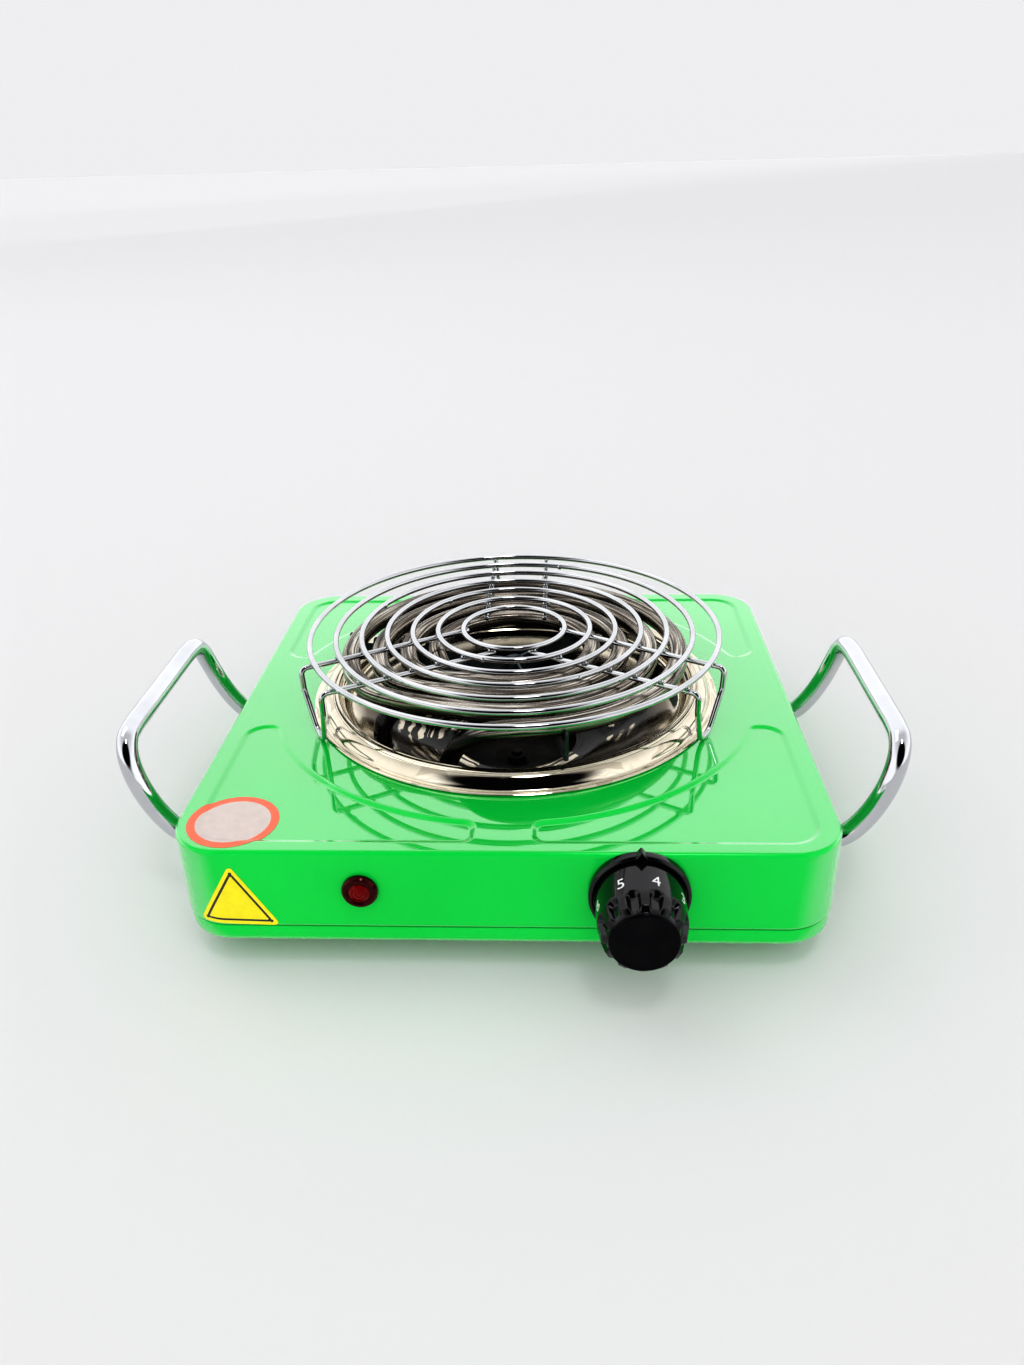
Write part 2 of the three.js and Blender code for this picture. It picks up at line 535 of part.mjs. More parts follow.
function thermostat() {
  const inside = -COVER_WALL - GAP;
  const shaft = turned([[0, -15], [6.5, -15], [6.5, -12], [SHAFT_RADIUS, -12], [SHAFT_RADIUS, 19.6],
    [0, 19.6]], 14);
  const flat = box(-5, 5, 2.3, 5, 8, 25);
  add(body, 'control_shaft', forward(shaft.subtract(flat), KNOB_X, KNOB_Z), ZINC);

  const bush = turned([[3.35, -10], [7, -10], [7, -8], [4.7, -8], [4.7, 3.9], [3.35, 3.9]], 16);
  add(body, 'thermostat_bush', forward(bush, KNOB_X, KNOB_Z), BRASS);
  const nut = hexNut(5.1, 8.2, GAP, 2.8);
  add(body, 'thermostat_nut', forward(nut, KNOB_X, KNOB_Z), ZINC);

  const frame = box(-24, 9, -9, 9, inside - 1.2, inside);
  const wall = box(-24, -22.8, -9, 9, -30, inside);
  const hole = rod(SHAFT_HOLE, -12, 0, 16);
  add(body, 'thermostat_frame', forward(joined(frame, wall).subtract(hole), KNOB_X, KNOB_Z), ZINC);

  const stack = turned([[0, -29], [4.2, -29], [4.2, -22.2], [5, -22.2], [5, -5.2], [0, -5.2]], 12);
  add(body, 'thermostat_insulator', forward(stack, KNOB_X - 16.5, KNOB_Z), CERAMIC);

  const leaf = (z, from, to, width) => box(from, to, -width / 2, width / 2, z, z + 0.6);
  const fixed = leaf(-21.6, -11, 12, 6);
  const moving = leaf(-17.6, -11, 12, 6);
  const contact = (z0, z1) => rod(2, z0, z1, 10).translate([9, 0, 0]);
  const fixedLeaf = joined(fixed, contact(-21.2, -19.6));
  const movingLeaf = joined(moving, contact(-19.2, -17.3));
  add(body, 'thermostat_fixed_leaf', forward(fixedLeaf, KNOB_X, KNOB_Z), COPPER);
  add(body, 'thermostat_moving_leaf', forward(movingLeaf, KNOB_X, KNOB_Z), COPPER);
  add(body, 'thermostat_bimetal', forward(leaf(-26, -11.9, 14, 8), KNOB_X, KNOB_Z), ZINC);
}

function lamp() {
  const lens = turned([[0, -6], [4.2, -6], [4.2, GAP], [6.25, GAP], [6.25, 1.6], [5.6, 2.6], [3.6, 3.4],
    [0, 3.6]], 18);
  add(body, 'lamp_lens', forward(lens, LAMP_X, LAMP_Z), RED_LENS);
  const inside = -COVER_WALL - GAP;
  const tube = turned([[0, -26], [5.8, -26], [5.8, -12], [6.8, -8], [6.8, inside], [4.6, inside], [4.6, -24],
    [0, -24]], 20);
  add(body, 'lamp_body', forward(tube, LAMP_X, LAMP_Z), BLACK_PLASTIC);
  const clip = turned([[6.2, -16], [8.5, -16], [8.5, -15], [6.2, -15]], 16);
  add(body, 'lamp_clip', forward(clip, LAMP_X, LAMP_Z), ZINC);
}

// ---------------------------------------------------------------- mains side: gland, block, wires
function mainsSide() {
  const inner = COVER_WALL + GAP;
  const collar = turned([[3.6, -inner - 2], [8, -inner - 2], [8, -inner], [5.6, -inner], [5.6, GAP],
    [8, GAP], [7.4, GLAND_REACH], [3.6, GLAND_REACH]], 16);
  const backward = collar.rotate([-90, 0, 0]).translate([GLAND_X, BACK, TOP + GLAND_Z]);
  add(body, 'cord_gland', backward, BLACK_PLASTIC);

  const [x, y, z] = [-92, 74, TRAY_FLOOR + GAP];
  let block = box(x - 16, x + 8, y - 8, y + 8, z, z + 12);
  for (const dx of [-11, -4, 3]) {
    const well = rod(2.4, z + 4, z + 13, 8).translate([x + dx, y, 0]);
    block = block.subtract(well);
  }
  add(body, 'terminal_block', block, CERAMIC);
  const stud = turned([[0, z], [3.4, z], [3.4, z + 2], [1.8, z + 3], [0, z + 3]], 8);
  add(body, 'earth_screw', stud.translate([-60, 96, 0]), BRASS);
}

// Insulated wires between the block, the thermostat, the coil and the lamp.
const CABLE = 1.1;
const WIRES = {
  wire_live: [WIRE_RED, [[-103, 65, 20], [-102, 50, 18], [-101, 0, 17], [-100, -60, 17], [-84, -92, 17],
    [-40, -100, 17], [10, -100, 17], [26, -98, 19], [33, -95.2, 25], [34, -94, 31.6]]],
  wire_neutral: [WIRE_BLUE, [[-89, 65, 19], [-88, 45, 17], [-88, 10, 16.5], [-80, -22, 16], [-66, -33, 16.5],
    [-57.2, -32.6, 19]]],
  wire_load: [WIRE_RED, [[35, -89, 31.6], [34, -86, 25], [28, -80, 17.5], [8, -68, 16], [-14, -57, 16],
    [-18.6, -54.6, 19.5]]],
  wire_lamp_live: [WIRE_RED, [[-46, -85.2, 36], [-45, -80, 33], [-40, -73, 24], [-34, -66, 17.5],
    [-28, -60.5, 18.6]]],
  wire_lamp_neutral: [WIRE_BLUE, [[-51, -85.2, 36], [-54, -78, 32], [-60, -60, 22], [-58, -46, 17.5],
    [-54, -38.6, 18.6]]],
  wire_earth: [WIRE_EARTH, [[-94, 82.8, 20], [-91, 87, 18], [-84, 95, 17], [-72, 97, 16.4],
    [-64.2, 96, 16.2]]],
};

function wires() {
  for (const [name, [material, route]] of Object.entries(WIRES)) {
    const points = route.map(([x, y, z]) => vector(x, y, z));
    add(body, name, bar(points, CABLE, 5, 3 * route.length), material);
  }
}

// ---------------------------------------------------------------- blank labels
const LABEL_RADIUS = 15.9;
const LABEL_THICK = 0.3;
const LABEL_AT = [-94.9, FRONT + 18.2, 0];

// The front label follows the rounded corner of the cover.
function labels() {
  const disc = rod(LABEL_RADIUS, TOP + GAP, TOP + GAP + LABEL_THICK, 32).translate(LABEL_AT);
  add(body, 'top_label', disc, LABEL_WHITE);
  const corners = [[-106.2, -30], [-77.2, -30.9], [-92.2, -5.5]].map(([x, z]) => new THREE.Vector2(x, z));
  const triangle = prism(new THREE.Shape(corners), 60, 160).rotate([90, 0, 0]).translate([0, 0, TOP]);
  const skin = prism(bodyPlan(-GAP - LABEL_THICK), COVER_Z, TOP, 8);
  const sheet = skin.subtract(prism(bodyPlan(-GAP), COVER_Z - 1, TOP + 1, 8));
  add(body, 'front_label', sheet.intersect(triangle), LABEL_YELLOW);
}

topCover();
bottomTray();
feetAndScrews();
dripPan();
heatingCoil();
coilTerminals();
coilSupport();
heatShield();
grateRings();
grateLegs();
handles();
knob();
thermostat();
lamp();
mainsSide();
wires();
labels();

export default object;
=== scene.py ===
"""Single coil hot plate: the looks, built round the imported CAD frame.

Lengths are in millimetres inside the shape functions, and each piece is turned to metres in the
row frame by the matrix of the part that it belongs to.
"""
import json
import math

import bmesh
import bpy
import numpy as np
from mathutils import Matrix, Vector
from mathutils.geometry import delaunay_2d_cdt

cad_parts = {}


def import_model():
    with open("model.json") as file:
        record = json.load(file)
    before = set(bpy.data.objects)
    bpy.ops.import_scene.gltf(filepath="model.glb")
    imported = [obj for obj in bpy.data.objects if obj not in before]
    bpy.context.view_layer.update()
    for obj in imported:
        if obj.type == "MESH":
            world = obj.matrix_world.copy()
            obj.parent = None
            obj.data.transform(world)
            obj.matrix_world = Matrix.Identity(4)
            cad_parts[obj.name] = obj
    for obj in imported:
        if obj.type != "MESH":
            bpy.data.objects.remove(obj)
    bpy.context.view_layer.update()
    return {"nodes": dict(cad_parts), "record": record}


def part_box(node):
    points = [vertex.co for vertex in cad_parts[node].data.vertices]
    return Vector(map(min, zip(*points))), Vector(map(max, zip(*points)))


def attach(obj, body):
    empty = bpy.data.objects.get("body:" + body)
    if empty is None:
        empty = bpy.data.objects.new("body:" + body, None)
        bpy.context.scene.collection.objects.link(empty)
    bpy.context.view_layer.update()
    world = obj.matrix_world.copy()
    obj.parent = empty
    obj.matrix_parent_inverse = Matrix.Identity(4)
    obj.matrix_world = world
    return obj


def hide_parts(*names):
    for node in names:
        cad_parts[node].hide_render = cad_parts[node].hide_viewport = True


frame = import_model()

MM = 0.001
TAU = 2 * math.pi

# ------------------------------------------------------------------ places taken from the frame
cover_lo, cover_hi = (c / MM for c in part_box("top_cover"))
tray_lo, tray_hi = (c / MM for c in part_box("bottom_tray"))
pan_lo, pan_hi = (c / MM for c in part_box("drip_pan"))
knob_lo, knob_hi = (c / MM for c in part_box("knob"))
lens_lo, lens_hi = (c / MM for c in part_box("lamp_lens"))
gland_lo, gland_hi = (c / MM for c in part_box("cord_gland"))

TOP = cover_hi.z                       # top face of the cover
BODY_Y = (cover_lo.y + cover_hi.y) / 2
SIDE = (cover_hi.x - cover_lo.x) / 2
BACK = (cover_hi.y - cover_lo.y) / 2
BURNER_Y = (pan_lo.y + pan_hi.y) / 2
KNOB_REACH = cover_lo.y - knob_lo.y      # how far the knob stands out of the front face
CORNER = 19.0
FILLET = 1.5
COIL_Z = 18.5                          # middle of the coil's turns above the top face
WELD = 1e-4                            # points closer than this are joined


def placed(x, y, z):
    return Matrix.Scale(MM, 4) @ Matrix.Translation((x, y, z))


def turned(degrees, axis="Z"):
    return Matrix.Rotation(math.radians(degrees), 4, axis)


BODY_AT = placed(0, BODY_Y, 0)                      # z = 0 on the floor
BURNER_AT = placed(0, BURNER_Y, TOP)                # z = 0 on the top face, on the burner axis
TO_FRONT = turned(90, "X")             # local +Z points to the front
TO_BACK = turned(-90, "X")
KNOB_AT = placed((knob_lo.x + knob_hi.x) / 2, cover_lo.y, (knob_lo.z + knob_hi.z) / 2) @ TO_FRONT
LAMP_AT = placed((lens_lo.x + lens_hi.x) / 2, cover_lo.y, (lens_lo.z + lens_hi.z) / 2) @ TO_FRONT
GLAND_AT = placed((gland_lo.x + gland_hi.x) / 2, cover_hi.y, (gland_lo.z + gland_hi.z) / 2) @ TO_BACK


# ------------------------------------------------------------------ node helpers for materials
class Nodes:
    """Short calls for the nodes of a tree."""

    def __init__(self, tree):
        self.tree = tree

    def node(self, kind, sockets, **settings):
        """A node with its settings, and its sockets set to values or linked to other nodes."""
        made = self.tree.nodes.new(kind)
        for key, value in settings.items():
            setattr(made, key, value)
        for socket, value in sockets.items():
            if isinstance(value, bpy.types.NodeSocket):
                self.tree.links.new(value, made.inputs[socket])
            else:
                made.inputs[socket].default_value = value
        return made

    def blend(self, factor, a, b, kind="MIX"):
        a, b = ((*c, 1) if isinstance(c, tuple) else c for c in (a, b))
        sockets = {"Factor": factor, 6: a, 7: b}
        return self.node("ShaderNodeMix", sockets, data_type="RGBA", blend_type=kind).outputs[2]


class Shader(Nodes):
    """A principled material and the patterns that feed it."""

    def __init__(self, name, color, roughness, metallic=0.0, **values):
        self.material = bpy.data.materials.new(name)
        self.material.use_nodes = True
        super().__init__(self.material.node_tree)
        self.bsdf = self.tree.nodes["Principled BSDF"]
        self.set("Base Color", (*color, 1))
        self.set("Roughness", roughness)
        self.set("Metallic", metallic)
        for key, value in values.items():
            self.set(key.replace("_", " ").title().replace("Ior", "IOR"), value)
        self.place = self.node("ShaderNodeTexCoord", {}).outputs["Object"]

    def set(self, socket, value):
        self.bsdf.inputs[socket].default_value = value

    def feed(self, socket, source):
        self.tree.links.new(source, self.bsdf.inputs[socket])

    def noise(self, scale, detail=4.0, rough=0.55, source=None):
        sockets = {"Scale": scale, "Detail": detail, "Roughness": rough, "Vector": source or self.place}
        return self.node("ShaderNodeTexNoise", sockets).outputs["Fac"]

    def bands(self, scale, source, detail=2.0):
        """Noise that changes with one measure only."""
        sockets = {"Scale": scale, "Detail": detail, "W": source}
        return self.node("ShaderNodeTexNoise", sockets, noise_dimensions="1D").outputs["Fac"]

    def span(self, source, low, high, out_low, out_high):
        sockets = {"Value": source, "From Min": low, "From Max": high, "To Min": out_low, "To Max": out_high}
        return self.node("ShaderNodeMapRange", sockets).outputs["Result"]

    def maths(self, operation, a, b):
        return self.node("ShaderNodeMath", {0: a, 1: b}, operation=operation).outputs["Value"]

    def ramp(self, source, *stops):
        made = self.node("ShaderNodeValToRGB", {"Fac": source})
        elements = made.color_ramp.elements
        while len(elements) < len(stops):
            elements.new(0.5)
        for element, (position, color) in zip(elements, stops):
            element.position = position
            element.color = (*color, 1)
        return made.outputs["Color"]

    def tones(self, noise, *stops):
        """Colour that wanders between stops with a noise."""
        self.feed("Base Color", self.ramp(self.noise(*noise), *stops))

    def gloss(self, noise, low, high, least, most):
        """Roughness that wanders with a noise."""
        self.feed("Roughness", self.span(self.noise(*noise), low, high, least, most))

    def bump(self, source, distance, strength):
        """Height in metres; several calls stack."""
        if isinstance(source, tuple):
            source = self.noise(*source)
        sockets = {"Distance": distance, "Strength": strength, "Height": source}
        normal = self.bsdf.inputs["Normal"]
        if normal.is_linked:
            sockets["Normal"] = normal.links[0].from_socket
        self.feed("Normal", self.node("ShaderNodeBump", sockets).outputs["Normal"])

    def axis(self, letter):
        return self.node("ShaderNodeSeparateXYZ", {"Vector": self.place}).outputs[letter]

    def from_axis(self, letters, centre):
        """Distance from a line through a centre, measured along two axes."""
        squares = []
        for letter, middle in zip(letters, centre):
            away = self.maths("SUBTRACT", self.axis(letter), middle)
            squares.append(self.maths("MULTIPLY", away, away))
        return self.maths("SQRT", self.maths("ADD", *squares), 0.0)


# ------------------------------------------------------------------ materials
def enamel():
    s = Shader("enamel_green", (0.005, 0.58, 0.075), 0.1, specular_tint=(0.3, 1.0, 0.4, 1), coat_ior=2.2,
               coat_roughness=0.02)
    graze = s.node("ShaderNodeLayerWeight", {"Blend": 0.5}).outputs["Facing"]
    s.feed("Coat Weight", s.span(graze, 0.28, 0.42, 0.04, 1.0))
    s.tones((9, 3), (0.3, (0.003, 0.545, 0.066)), (0.7, (0.007, 0.61, 0.084)))
    s.gloss((60, 5), 0.3, 0.7, 0.04, 0.1)
    s.bump((420, 2, 0.4), 0.00002, 0.12)
    s.bump((38, 2, 0.4), 0.00012, 0.12)
    return s.material


def chrome():
    s = Shader("chrome", (0.64, 0.65, 0.67), 0.05, 1.0)
    s.tones((50, 4), (0.3, (0.56, 0.57, 0.59)), (0.7, (0.63, 0.64, 0.66)))
    s.gloss((160, 6, 0.7), 0.4, 0.75, 0.03, 0.14)
    s.bump((900, 3, 0.6), 0.00002, 0.12)
    return s.material


def wire_chrome():
    """Plating on drawn wire: a little duller than the handles, with fine draw lines."""
    s = Shader("wire_chrome", (0.5, 0.51, 0.53), 0.08, 1.0)
    s.tones((70, 4), (0.3, (0.5, 0.51, 0.52)), (0.7, (0.59, 0.6, 0.61)))
    s.gloss((200, 6, 0.7), 0.4, 0.75, 0.03, 0.12)
    s.bump((1100, 3, 0.6), 0.00002, 0.15)
    return s.material


def stainless():
    """Turned steel with fine turning lines round the burner's axis; the bowl is painted dark as shade and
    dark reflection, with painted arcs of reflected light.
    """
    s = Shader("stainless", (0.83, 0.77, 0.67), 0.12, 1.0)
    radius = s.from_axis("XY", (0, BURNER_Y * MM))
    wander = s.maths("ADD", radius, s.span(s.noise(22, 4), 0.3, 0.7, -0.0035, 0.0035))
    # painted shade and dark reflection: the bowl is coloured near black, and towards the rim the ramp reaches
    # the steel's own cream tone
    tone_and_shade = s.ramp(s.span(wander, 0.02, 0.086, 0, 1), (0.0, (0.006, 0.006, 0.005)),
                  (0.5, (0.012, 0.011, 0.01)), (0.64, (0.14, 0.12, 0.09)), (0.74, (0.66, 0.61, 0.5)),
                  (1.0, (0.74, 0.69, 0.58)))
    # painted reflection: thin arcs of lighter colour round the axis, in patches
    reflection_arcs = s.span(s.bands(240, wander), 0.51, 0.53, 0, 1)
    painted_reflection = s.maths("MULTIPLY", reflection_arcs, s.span(s.noise(42, 2), 0.49, 0.51, 0, 1))
    smudge = s.ramp(s.noise(45, 5, 0.65), (0.35, (0.86, 0.84, 0.80)), (0.7, (1.0, 1.0, 1.0)))
    s.feed("Base Color", s.blend(1.0, s.blend(painted_reflection, tone_and_shade, (0.55, 0.5, 0.4)), smudge, "MULTIPLY"))
    s.bump(s.bands(2600, radius, 3), 0.000012, 0.5)
    s.gloss((80, 5, 0.7), 0.35, 0.75, 0.04, 0.15)
    return s.material


def coil_steel():
    """Oxidised tube: streaks that follow it, and painted shade on its lower half."""
    s = Shader("coil_steel", (0.3, 0.27, 0.24), 0.36, 0.85)
    along = s.node("ShaderNodeAttribute", {}, attribute_name="grain").outputs["Vector"]
    lines = s.noise(6.5, 3, 0.6, along)
    streak = s.ramp(lines, (0.36, (0.03, 0.025, 0.021)), (0.46, (0.15, 0.13, 0.11)),
                    (0.54, (0.42, 0.39, 0.35)), (0.66, (0.8, 0.78, 0.74)))
    patches = s.ramp(s.noise(30, 5, 0.6), (0.35, (0.7, 0.66, 0.6)), (0.65, (1.0, 0.98, 0.95)))
    # painted shade: below the middle of the turns the tube is coloured near black
    middle = (TOP + COIL_Z) * MM
    above = s.span(s.axis("Z"), middle - 0.002, middle + 0.0015, 0, 1)
    s.feed("Base Color", s.blend(above, (0.02, 0.018, 0.017), s.blend(1.0, streak, patches, "MULTIPLY")))
    s.gloss((260, 4, 0.6), 0.3, 0.7, 0.16, 0.3)
    s.bump(lines, 0.00005, 0.4)
    s.bump((1400, 3, 0.6), 0.00003, 0.15)
    return s.material


def dark_steel():
    s = Shader("dark_steel", (0.05, 0.075, 0.08), 0.34, 0.85)
    s.tones((70, 5, 0.6), (0.35, (0.035, 0.055, 0.06)), (0.7, (0.11, 0.145, 0.15)))
    s.gloss((220, 4), 0.3, 0.7, 0.22, 0.45)
    s.bump((1100, 3, 0.6), 0.00004, 0.4)
    return s.material


def burnt_steel():
    # heat-darkened steel coloured near black, as painted shade for the parts under the coil
    s = Shader("burnt_steel", (0.012, 0.011, 0.01), 0.7, 0.3)
    s.tones((60, 6, 0.65), (0.35, (0.006, 0.006, 0.006)), (0.75, (0.03, 0.026, 0.022)))
    s.gloss((150, 5), 0.3, 0.7, 0.55, 0.85)
    s.bump((900, 4, 0.7), 0.00008, 0.5)
    return s.material


def zinc():
    s = Shader("zinc", (0.62, 0.64, 0.66), 0.34, 1.0)
    s.tones((180, 4, 0.6), (0.3, (0.5, 0.52, 0.55)), (0.5, (0.64, 0.65, 0.66)),
                   (0.75, (0.72, 0.71, 0.64)))
    s.gloss((500, 4), 0.3, 0.7, 0.24, 0.44)
    s.bump((1600, 3), 0.00003, 0.4)
    return s.material


def machined(name, dark, light):
    s = Shader(name, light, 0.3, 1.0)
    s.tones((160, 5, 0.6), (0.3, dark), (0.7, light))
    s.gloss((600, 4), 0.3, 0.7, 0.2, 0.4)
    s.bump((1500, 3), 0.00003, 0.35)
    return s.material


def black_plastic():
    """Matt on the knob's front face, glossier on everything behind it."""
    s = Shader("black_plastic", (0.006, 0.006, 0.007), 0.14, specular_ior_level=0.2)
    face = (cover_lo.y - KNOB_REACH) * MM
    s.feed("Specular IOR Level", s.span(s.axis("Y"), face + 0.0006, face + 0.0016, 0.08, 0.45))
    s.tones((120, 4), (0.3, (0.002, 0.002, 0.003)), (0.75, (0.006, 0.006, 0.007)))
    s.gloss((240, 6, 0.7), 0.35, 0.75, 0.05, 0.16)
    s.bump((700, 3, 0.5), 0.00003, 0.25)
    return s.material


def red_lens():
    """Deep red lens with a darker rim; its middle is painted lighter, standing in for light through the lens.
    """
    s = Shader("red_lens", (0.2, 0.001, 0.002), 0.08, ior=1.45, specular_tint=(1.0, 0.3, 0.3, 1))
    middle = (lens_lo + lens_hi) / 2 * MM
    far = s.from_axis("XZ", (middle.x, middle.z))
    # painted light: the middle of the lens is coloured lighter red than the rim
    painted_lit_middle = s.ramp(s.noise(350, 3), (0.3, (0.11, 0.001, 0.002)), (0.75, (0.2, 0.002, 0.004)))
    s.feed("Base Color", s.blend(s.span(far, 0.0033, 0.0038, 0, 1), painted_lit_middle, (0.02, 0.0005, 0.0008)))
    s.gloss((400, 4), 0.3, 0.7, 0.04, 0.1)
    s.bump((900, 2), 0.00002, 0.2)
    return s.material


def rubber():
    s = Shader("rubber", (0.02, 0.02, 0.021), 0.8)
    s.tones((90, 5, 0.6), (0.3, (0.015, 0.015, 0.016)), (0.75, (0.045, 0.044, 0.042)))
    s.gloss((300, 4), 0.3, 0.7, 0.66, 0.9)
    s.bump((1300, 4, 0.7), 0.0001, 0.5)
    return s.material


def ceramic():
    s = Shader("ceramic", (0.8, 0.77, 0.7), 0.62)
    s.tones((120, 5, 0.6), (0.3, (0.7, 0.66, 0.58)), (0.7, (0.84, 0.81, 0.75)))
    s.bump((1100, 4, 0.7), 0.00008, 0.5)
    return s.material


def printed(name, color, roughness):
    """Thin coated label stock with one printed colour."""
    s = Shader(name, color, roughness, coat_weight=0.25, coat_roughness=0.12)
    lighter = tuple(min(1.0, c * 1.04 + 0.004) for c in color)
    darker = tuple(c * 0.93 for c in color)
    s.tones((220, 5, 0.6), (0.3, darker), (0.7, lighter))
    s.gloss((500, 4), 0.3, 0.7, roughness * 0.8, roughness * 1.25)
    s.bump((1500, 4, 0.7), 0.00002, 0.35)
    return s.material


def insulation(name, color):
    s = Shader(name, color, 0.45)
    s.tones((140, 4), (0.3, tuple(c * 0.85 for c in color)), (0.7, color))
    s.bump((900, 3), 0.00003, 0.4)
    return s.material


MATERIALS = {
    "enamel_green": enamel(),
    "chrome": chrome(),
    "stainless": stainless(),
    "coil_steel": coil_steel(),
    "dark_steel": dark_steel(),
    "zinc": zinc(),
    "brass": machined("brass", (0.5, 0.36, 0.14), (0.78, 0.6, 0.3)),
    "copper": machined("copper", (0.5, 0.22, 0.1), (0.8, 0.42, 0.24)),
    "black_plastic": black_plastic(),
    "red_lens": red_lens(),
    "rubber": rubber(),
    "ceramic": ceramic(),
    "label_white": printed("label_white", (0.7, 0.6, 0.56), 0.45),
    "label_yellow": printed("label_yellow", (0.82, 0.72, 0.0), 0.4),
    "wire_red": insulation("wire_red", (0.5, 0.02, 0.015)),
    "wire_blue": insulation("wire_blue", (0.02, 0.09, 0.4)),
    "wire_earth": insulation("wire_earth", (0.25, 0.4, 0.02)),
}
BURNT_SHADE = burnt_steel()
WIRE_CHROME = wire_chrome()
CORAL_INK = printed("coral_ink", (0.88, 0.17, 0.075), 0.4)
BLACK_INK = printed("black_ink", (0.01, 0.01, 0.01), 0.35)
WHITE_INK = printed("white_ink", (0.85, 0.85, 0.84), 0.45)


# ------------------------------------------------------------------ shape helpers
def polar_3d(r, a, z=0.0):
    return Vector((r * math.cos(a), r * math.sin(a), z))


def circle(radius, count, z=0.0):
    return [polar_3d(radius, TAU * k / count, z) for k in range(count)]


def quarter(steps):
    """Sine and cosine of the angles from nothing to a right angle."""
    angles = [math.radians(90 * k / steps) for k in range(steps + 1)]
    return [(math.sin(a), math.cos(a)) for a in angles]


def eased(t):
    t = min(max(t, 0.0), 1.0)
    return t * t * (3 - 2 * t)


def anticlockwise(outline):
    area = sum(a.x * b.y - b.x * a.y for a, b in zip(outline, outline[1:] + outline[:1]))
    return outline if area > 0 else outline[::-1]


def added(name, data):
    """A new object in the scene."""
    obj = bpy.data.objects.new(name, data)
    bpy.context.scene.collection.objects.link(obj)
    return obj


def outward(name, verts, faces, weld):
    """A mesh whose faces look outwards; weld joins its double points."""
    mesh = bpy.data.meshes.new(name)
    mesh.from_pydata([tuple(v) for v in verts], [], [tuple(f) for f in faces])
    bm = bmesh.new()
    bm.from_mesh(mesh)
    if weld:
        bmesh.ops.remove_doubles(bm, verts=bm.verts, dist=WELD)
    bmesh.ops.recalc_face_normals(bm, faces=bm.faces)
    bm.to_mesh(mesh)
    bm.free()
    return mesh


def piece(name, verts, faces, at, body, slot, nodes=(), sharp=35, materials=None):
    """A finished object from a mesh in millimetres, riding on a body."""
    mesh = outward(name, verts, faces, weld=True)
    for material in materials or [MATERIALS[slot]]:
        mesh.materials.append(material)
    mesh.transform(at)
    obj = added(name, mesh)
    smooth(obj, sharp)
    settle(obj, body, nodes)
    return obj


def smooth(obj, sharp):
    obj.data.polygons.foreach_set("use_smooth", [True] * len(obj.data.polygons))
    obj.data.set_sharp_from_angle(angle=math.radians(sharp))
    obj.data.update()


def settle(obj, body, nodes=()):
    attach(obj, body)
    if nodes:
        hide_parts(*nodes)


def rounded(points, radii, steps=6, closed=False, support=0.0):
    """A polyline with its corners turned into arcs. Support adds a point on the straight beside each arc."""
    count = len(points)
    points = [Vector(p).to_3d() if len(p) == 2 else Vector(p) for p in points]
    made = []
    for i, p in enumerate(points):
        r = radii if isinstance(radii, (int, float)) else radii[i]
        if r <= 0 or (not closed and i in (0, count - 1)):
            made.append(p)
            continue
        a = (points[i - 1] - p).normalized()
        b = (points[(i + 1) % count] - p).normalized()
        half = a.angle(b) / 2
        if half > math.radians(89.5):
            made.append(p)
            continue
        reach = r / math.tan(half)
        centre = p + (a + b).normalized() * (r / math.sin(half))
        start, end = p + a * reach - centre, p + b * reach - centre
        turn = start.angle(end)
        if support:
            made.append(p + a * (reach + support))
        for k in range(steps + 1):
            t = k / steps
            blend = (start * math.sin((1 - t) * turn) + end * math.sin(t * turn)) / math.sin(turn)
            made.append(centre + blend)
        if support:
            made.append(p + b * (reach + support))
    return made


def catmull(points, spacing):
    """Points about one spacing apart on a centripetal Catmull-Rom curve."""
    pts = [Vector(p) for p in points]
    pts = [pts[0] * 2 - pts[1], *pts, pts[-1] * 2 - pts[-2]]
    made = []
    for p0, p1, p2, p3 in zip(pts, pts[1:], pts[2:], pts[3:]):
        knots = [0.0]
        for a, b in ((p0, p1), (p1, p2), (p2, p3)):
            knots.append(knots[-1] + math.sqrt(max((b - a).length, 1e-6)))
        t0, t1, t2, t3 = knots
        count = max(2, round((p2 - p1).length / spacing))
        for i in range(count):
            t = t1 + (t2 - t1) * i / count
            a1 = p0 * ((t1 - t) / (t1 - t0)) + p1 * ((t - t0) / (t1 - t0))
            a2 = p1 * ((t2 - t) / (t2 - t1)) + p2 * ((t - t1) / (t2 - t1))
            a3 = p2 * ((t3 - t) / (t3 - t2)) + p3 * ((t - t2) / (t3 - t2))
            b1 = a1 * ((t2 - t) / (t2 - t0)) + a2 * ((t - t0) / (t2 - t0))
            b2 = a2 * ((t3 - t) / (t3 - t1)) + a3 * ((t - t1) / (t3 - t1))
            made.append(b1 * ((t2 - t) / (t2 - t1)) + b2 * ((t - t1) / (t2 - t1)))
    made.append(pts[-2].copy())
    return made


def circle_section(radius, sides=16):
    return [(radius * math.cos(TAU * i / sides), radius * math.sin(TAU * i / sides)) for i in range(sides)]


